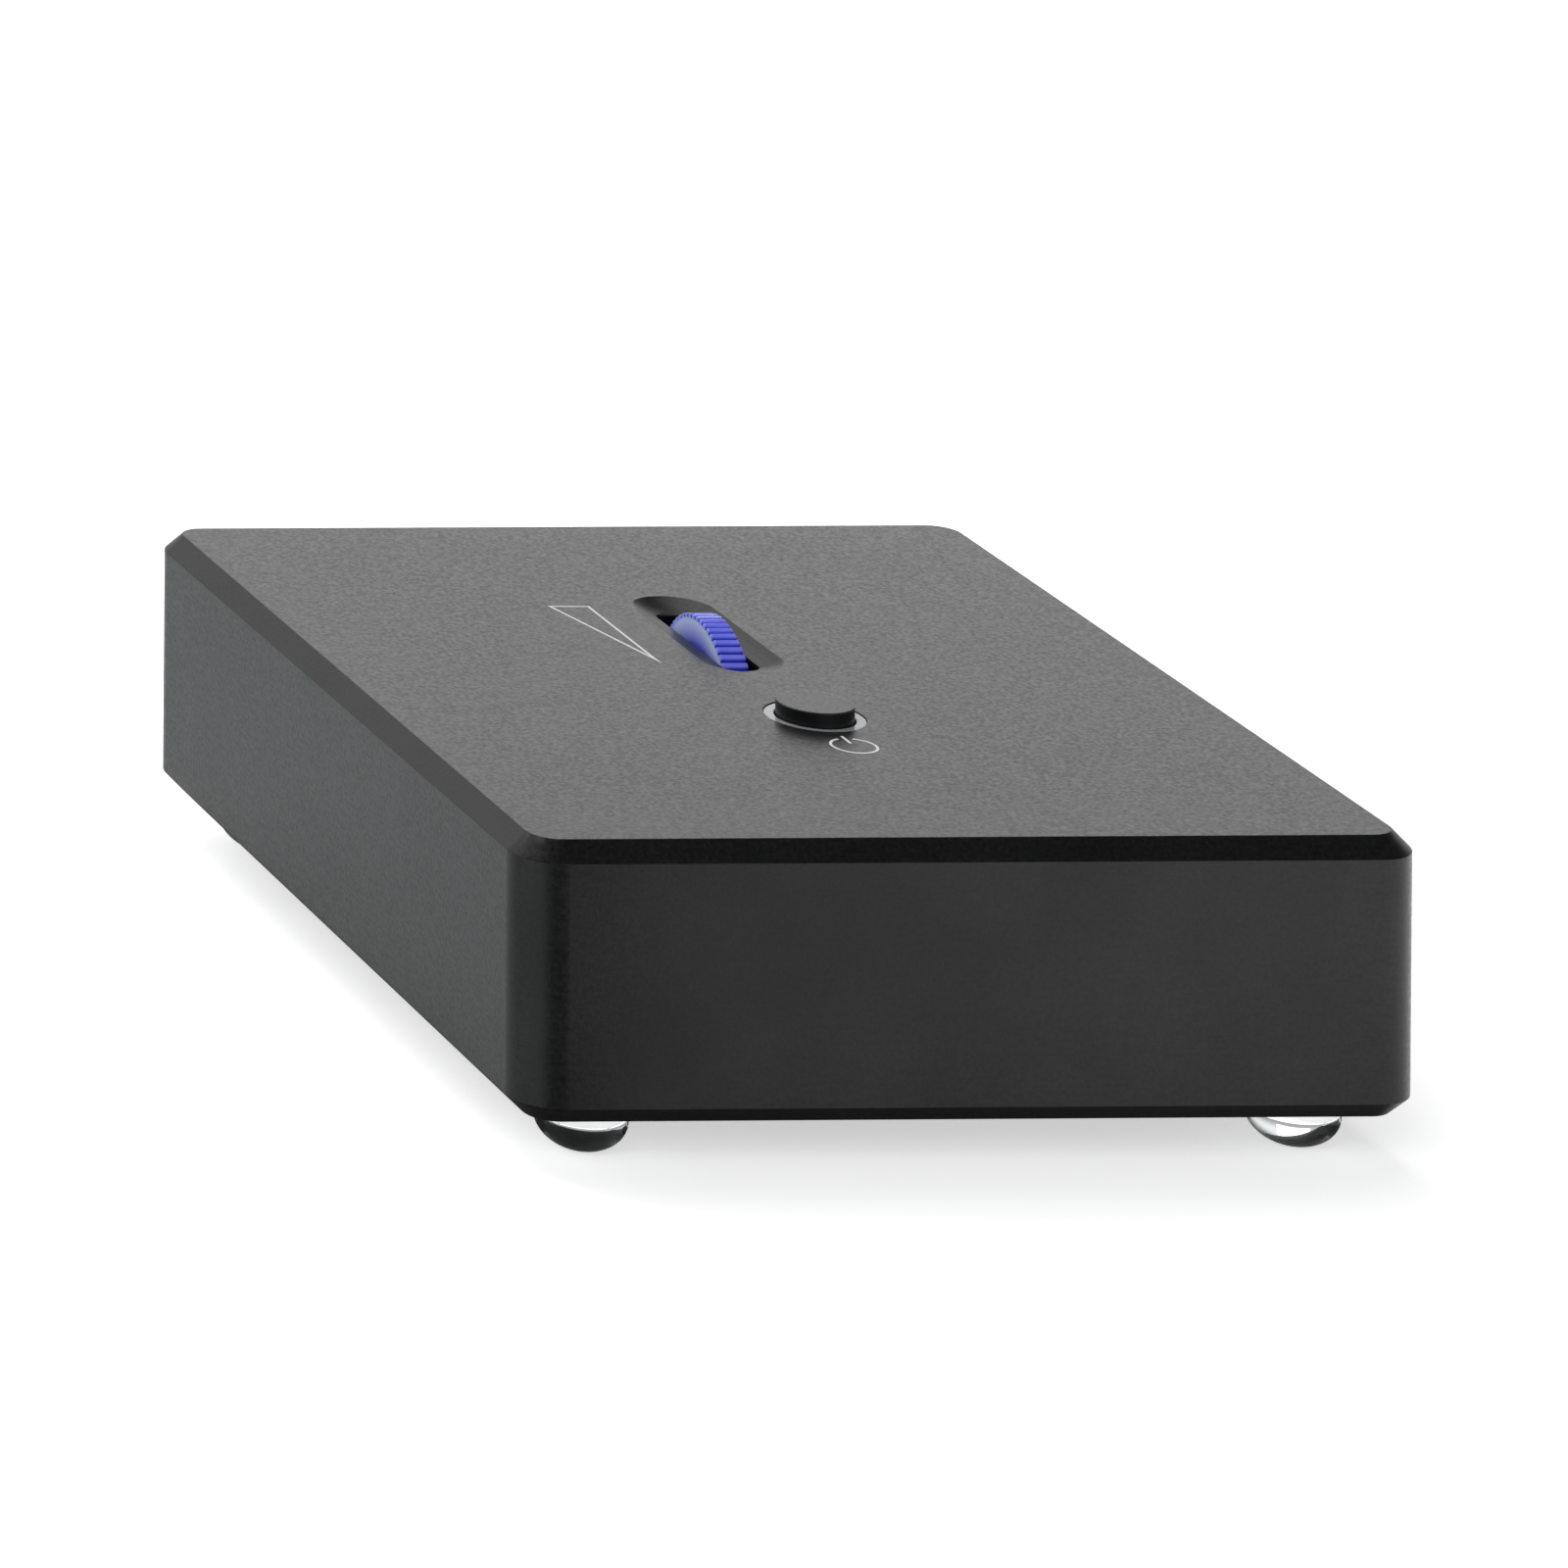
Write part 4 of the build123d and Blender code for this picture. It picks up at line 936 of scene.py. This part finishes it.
def clearFeet():
    # a flattened dome r = R cos u, z = skirt - depth sin u, from the small flat that it stands on up to the
    # skirt, then straight up to the base plate
    look = footLook
    for place in ("front_left", "front_right", "rear_left", "rear_right"):
        middle, half = nodeBox("foot_" + place)
        radius, height, contact = half[0], 2 * half[2], look["contactRadius"]
        dome = height - look["skirt"]
        depth = dome / sqrt(1 - (contact / radius) ** 2)
        turn = np.linspace(np.arccos(contact / radius), 0, look["domeSteps"])
        low = middle[2] - half[2]
        arc = np.stack((radius * np.cos(turn), low + dome - depth * np.sin(turn)), 1)
        top = low + height - look["topGap"]
        rim = [(radius, low + dome + look["rimFrom"]), (radius, top), (0.0, top)]
        profile = np.concatenate(([(0.0, low)], arc, softCorners(rim, look["rim"], look["cornerSteps"])))
        shape = turned(profile, (middle[0], middle[1], 0), "z", look["segments"])
        addPiece("clearFoot." + place, shape, "case", "foot_plastic", look["sharp"], ["foot_" + place])


socketNames = ("input_left", "input_right", "output_left", "output_right")
socketLook = {
    "sleeveRadius": 4.15, "boreRadius": 3.3, "neckRadius": 3.9, "flangeThickness": 1.0,
    "groove": 0.18, "grooveWidth": 0.5, "grooveFromMouth": 2.2,
    "softness": (0.1, 0.1, 0.05, 0.2, 0.25, 0.15, 0.1, 0.1, 0.1, 0.1, 0.35, 0.35), "cornerSteps": 6,
    "segments": 96, "sharp": 50,
}


def socketShells():
    # a turned sleeve: flange, sleeve with a shallow groove near its rounded mouth, bore and neck
    look = socketLook
    sleeve, bore, neck = look["sleeveRadius"], look["boreRadius"], look["neckRadius"]
    wide, deep = look["grooveWidth"] / 2, look["groove"]
    for name in socketNames:
        middle, half = nodeBox(name + "_shell")
        front, mouth = nodeLevels(name + "_shell", 1)
        rings = "left_colour_rings" if name.endswith("left") else "right_colour_rings"
        flange = nodeLevels(rings, 1)[1]
        flangeBack = flange + look["flangeThickness"]
        groove = mouth - look["grooveFromMouth"]
        seam = (bore, (front + mouth) / 2)
        corners = [
            seam, (bore, front), (neck, front), (neck, flange), (half[0], flange), (half[0], flangeBack),
            (sleeve, flangeBack), (sleeve, groove - wide), (sleeve - deep, groove - wide / 2),
            (sleeve - deep, groove + wide / 2), (sleeve, groove + wide), (sleeve, mouth), (bore, mouth), seam,
        ]
        profile = softCorners(corners, eachCorner(look), look["cornerSteps"])
        shape = turned(profile, (middle[0], 0, middle[2]), "y", look["segments"])
        addPiece("socketShell." + name, shape, "case", "socket_nickel", look["sharp"], [name + "_shell"])


# the waist is cut waist deep, over waistFloor to each side of the middle and up to the bands at waistMouth
nutLook = {
    "knurls": 36, "knurlDepth": 0.28, "knurlPower": 1.5, "stepsPerKnurl": 8, "bore": 2.05, "edge": 0.5,
    "waist": 0.35, "waistFloor": 0.35, "waistMouth": 0.45, "softness": 0.08, "cornerSteps": 4, "sharp": 50,
}


def groundNut():
    # a thumb nut: straight knurls depth * (1 - |sin(knurls * t / 2)| ** power) round two bands with a plain
    # waist between
    look = nutLook
    middle, half = nodeBox("ground_nut")
    front, back = nodeLevels("ground_nut", 1)
    depth, bore, edge = look["knurlDepth"], look["bore"], look["edge"]
    root = half[0] - depth
    neck = root - look["waist"]
    centre = (front + back) / 2
    corners = [
        (bore, centre, 0), (bore, front, 0), (root - edge, front, 0), (root, front + edge, 1),
        (root, centre - look["waistMouth"], 1), (neck, centre - look["waistFloor"], 0),
        (neck, centre + look["waistFloor"], 0), (root, centre + look["waistMouth"], 1),
        (root, back - edge, 1), (root - edge, back, 0), (bore, back, 0), (bore, centre, 0),
    ]

    def knurls(angle):
        return depth * (1 - np.abs(np.sin(look["knurls"] * angle / 2)) ** look["knurlPower"])

    profile = softCorners(corners, look["softness"], look["cornerSteps"])
    segments = look["knurls"] * look["stepsPerKnurl"]
    shape = turned(profile, (middle[0], 0, middle[2]), "y", segments, knurls)
    addPiece("groundNutKnurled", shape, "clamp_nut", "socket_nickel", look["sharp"], ["ground_nut"])


jackNutLook = {
    "bore": 3.0, "boreEdge": 0.3, "edge": 0.35, "ribs": 30, "ribDepth": 0.18, "ribPower": 0.7,
    "stepsPerRib": 8, "softness": 0.1, "cornerSteps": 4, "sharp": 50,
}


def headphoneNut():
    # a flat ring nut, finely ribbed round its edge by depth * ((1 + cos(ribs * t)) / 2) ** power
    look = jackNutLook
    middle, half = nodeBox("headphone_nut")
    front, back = nodeLevels("headphone_nut", 1)
    depth, edge, bore, boreEdge = look["ribDepth"], look["edge"], look["bore"], look["boreEdge"]
    root = half[0] - depth
    seam = (bore, (front + back) / 2, 0)
    corners = [
        seam, (bore, front, 0), (root, front, 1), (root, back - edge, 1), (root - edge, back, 0),
        (bore + boreEdge, back, 0), (bore, back - boreEdge, 0), seam,
    ]

    def ribs(angle):
        return depth * (0.5 + 0.5 * np.cos(look["ribs"] * angle)) ** look["ribPower"]

    profile = softCorners(corners, look["softness"], look["cornerSteps"])
    shape = turned(profile, (middle[0], 0, middle[2]), "y", look["ribs"] * look["stepsPerRib"], ribs)
    addPiece("headphoneNutRibbed", shape, "case", "socket_nickel", look["sharp"], ["headphone_nut"])


# radius is that of each node's shanks; heads are twice as wide, and the key hole's size and depth its shares
screwLook = {
    "radius": {"base_screws": 1.5, "standoff_screws": 1.25}, "keyShare": 0.55, "keyDepth": 0.75,
    "softness": 0.04, "cornerSteps": 3, "segments": 96, "sharp": 30,
}


def countersunkScrews():
    # a conical head with a hexagon key hole, radius key / cos(angle within its side), and its shank
    look = screwLook
    for node, radius in look["radius"].items():
        middle, half = nodeBox(node)
        low, high = middle - half, middle + half
        head, key = 2 * radius, look["keyShare"] * radius
        bottom, top = low[2], high[2]
        keyTop = bottom + look["keyDepth"] * radius
        corners = [
            (0.0, keyTop, 0), (key, keyTop, 1), (key, bottom, 1), (head, bottom, 0),
            (radius, bottom + radius, 0), (radius, top, 0), (0.0, top, 0),
        ]

        def hexagon(angle):
            return key * (1 / np.cos((angle + pi / 6) % (pi / 3) - pi / 6) - 1)

        profile = softCorners(corners, look["softness"], look["cornerSteps"])
        xs, ys = (low[0] + head, high[0] - head), (low[1] + head, high[1] - head)
        places = [(x, y, 0) for x in xs for y in ys]
        parts = [turned(profile, place, "z", look["segments"], hexagon) for place in places]
        addPiece(node + "Keyed", joined(parts), "case", "dark_screws", look["sharp"], [node])


# fromAxis is how far the rear wall's labels lie above or below the sockets' middles, aside what is written
# beside the switch's slider and how far from it
labelLook = {
    "thickness": 0.02, "size": 3.0, "small": 2.4, "smallest": 1.9, "fromAxis": 8.6,
    "aside": {"magnet": ("MM", -6.0), "coil": ("MC", 8.0)}, "sharp": 30,
}


def printedText(name, words, size, place, facing):
    # letters as a thin mesh on a wall; facing holds the directions of the line, of up and out of the wall
    curve = bpy.data.curves.new(name, "FONT")
    curve.body = words
    curve.size = size * mm
    curve.align_x = "CENTER"
    curve.align_y = "CENTER"
    curve.extrude = labelLook["thickness"] * mm
    maker = bpy.data.objects.new(name + "Maker", curve)
    scene.collection.objects.link(maker)
    bpy.context.view_layer.update()
    mesh = bpy.data.meshes.new_from_object(maker.evaluated_get(bpy.context.evaluated_depsgraph_get()))
    bpy.data.objects.remove(maker)
    axes = Matrix(facing).transposed().to_4x4()
    mesh.transform(Matrix.Translation(Vector(place) * mm) @ axes)
    return finishPiece(name, mesh, "case", "ring_plastic", labelLook["sharp"], finish="print_ink")


def printLabels():
    # plain words above and below the sockets on the rear wall, and beside the slider under the case
    look = labelLook
    rearWall = ((-1, 0, 0), (0, 0, 1), (0, 1, 0))
    underside = ((-1, 0, 0), (0, 1, 0), (0, 0, -1))
    back = nodeLevels("case_body", 1)[1]
    axisHeight = nodeBox("ground_stud")[0][2]
    low, high = axisHeight - look["fromAxis"], axisHeight + look["fromAxis"]
    places = {name: nodeBox(name + "_shell")[0][0] for name in socketNames}
    for name, x in places.items():
        side = "L" if name.endswith("left") else "R"
        printedText("mark." + name, side, look["small"], (x, back, low), rearWall)
    for name in ("input", "output"):
        x = (places[name + "_left"] + places[name + "_right"]) / 2
        printedText("mark." + name, name.upper(), look["small"], (x, back, high), rearWall)
    printedText("mark.ground", "GND", look["small"], (nodeBox("ground_stud")[0][0], back, high), rearWall)
    printedText("mark.power", "DC IN", look["small"], (nodeBox("inlet_pin")[0][0], back, high), rearWall)
    jackPlace = (nodeBox("headphone_nut")[0][0], back, low)
    printedText("mark.headphones", "PHONES", look["smallest"], jackPlace, rearWall)
    slider = nodeBox("cartridge_slider")[0]
    plateBottom = nodeLevels("base_plate", 2)[0]
    for name, (words, aside) in look["aside"].items():
        place = (slider[0] + aside, slider[1], plateBottom)
        printedText("mark." + name, words, look["size"], place, underside)


makeStudio()
makeFloor()
makeLamps()
print("the studio is lit")
dressNodes()
caseShell()
printMarks()
print("the case is milled and printed")
volumeWheel()
powerButton()
buttonSpring()
lightRing()
clearFeet()
print("the wheel, button and feet are in")
socketShells()
groundNut()
headphoneNut()
countersunkScrews()
printLabels()
print("the rear and the underside are done")
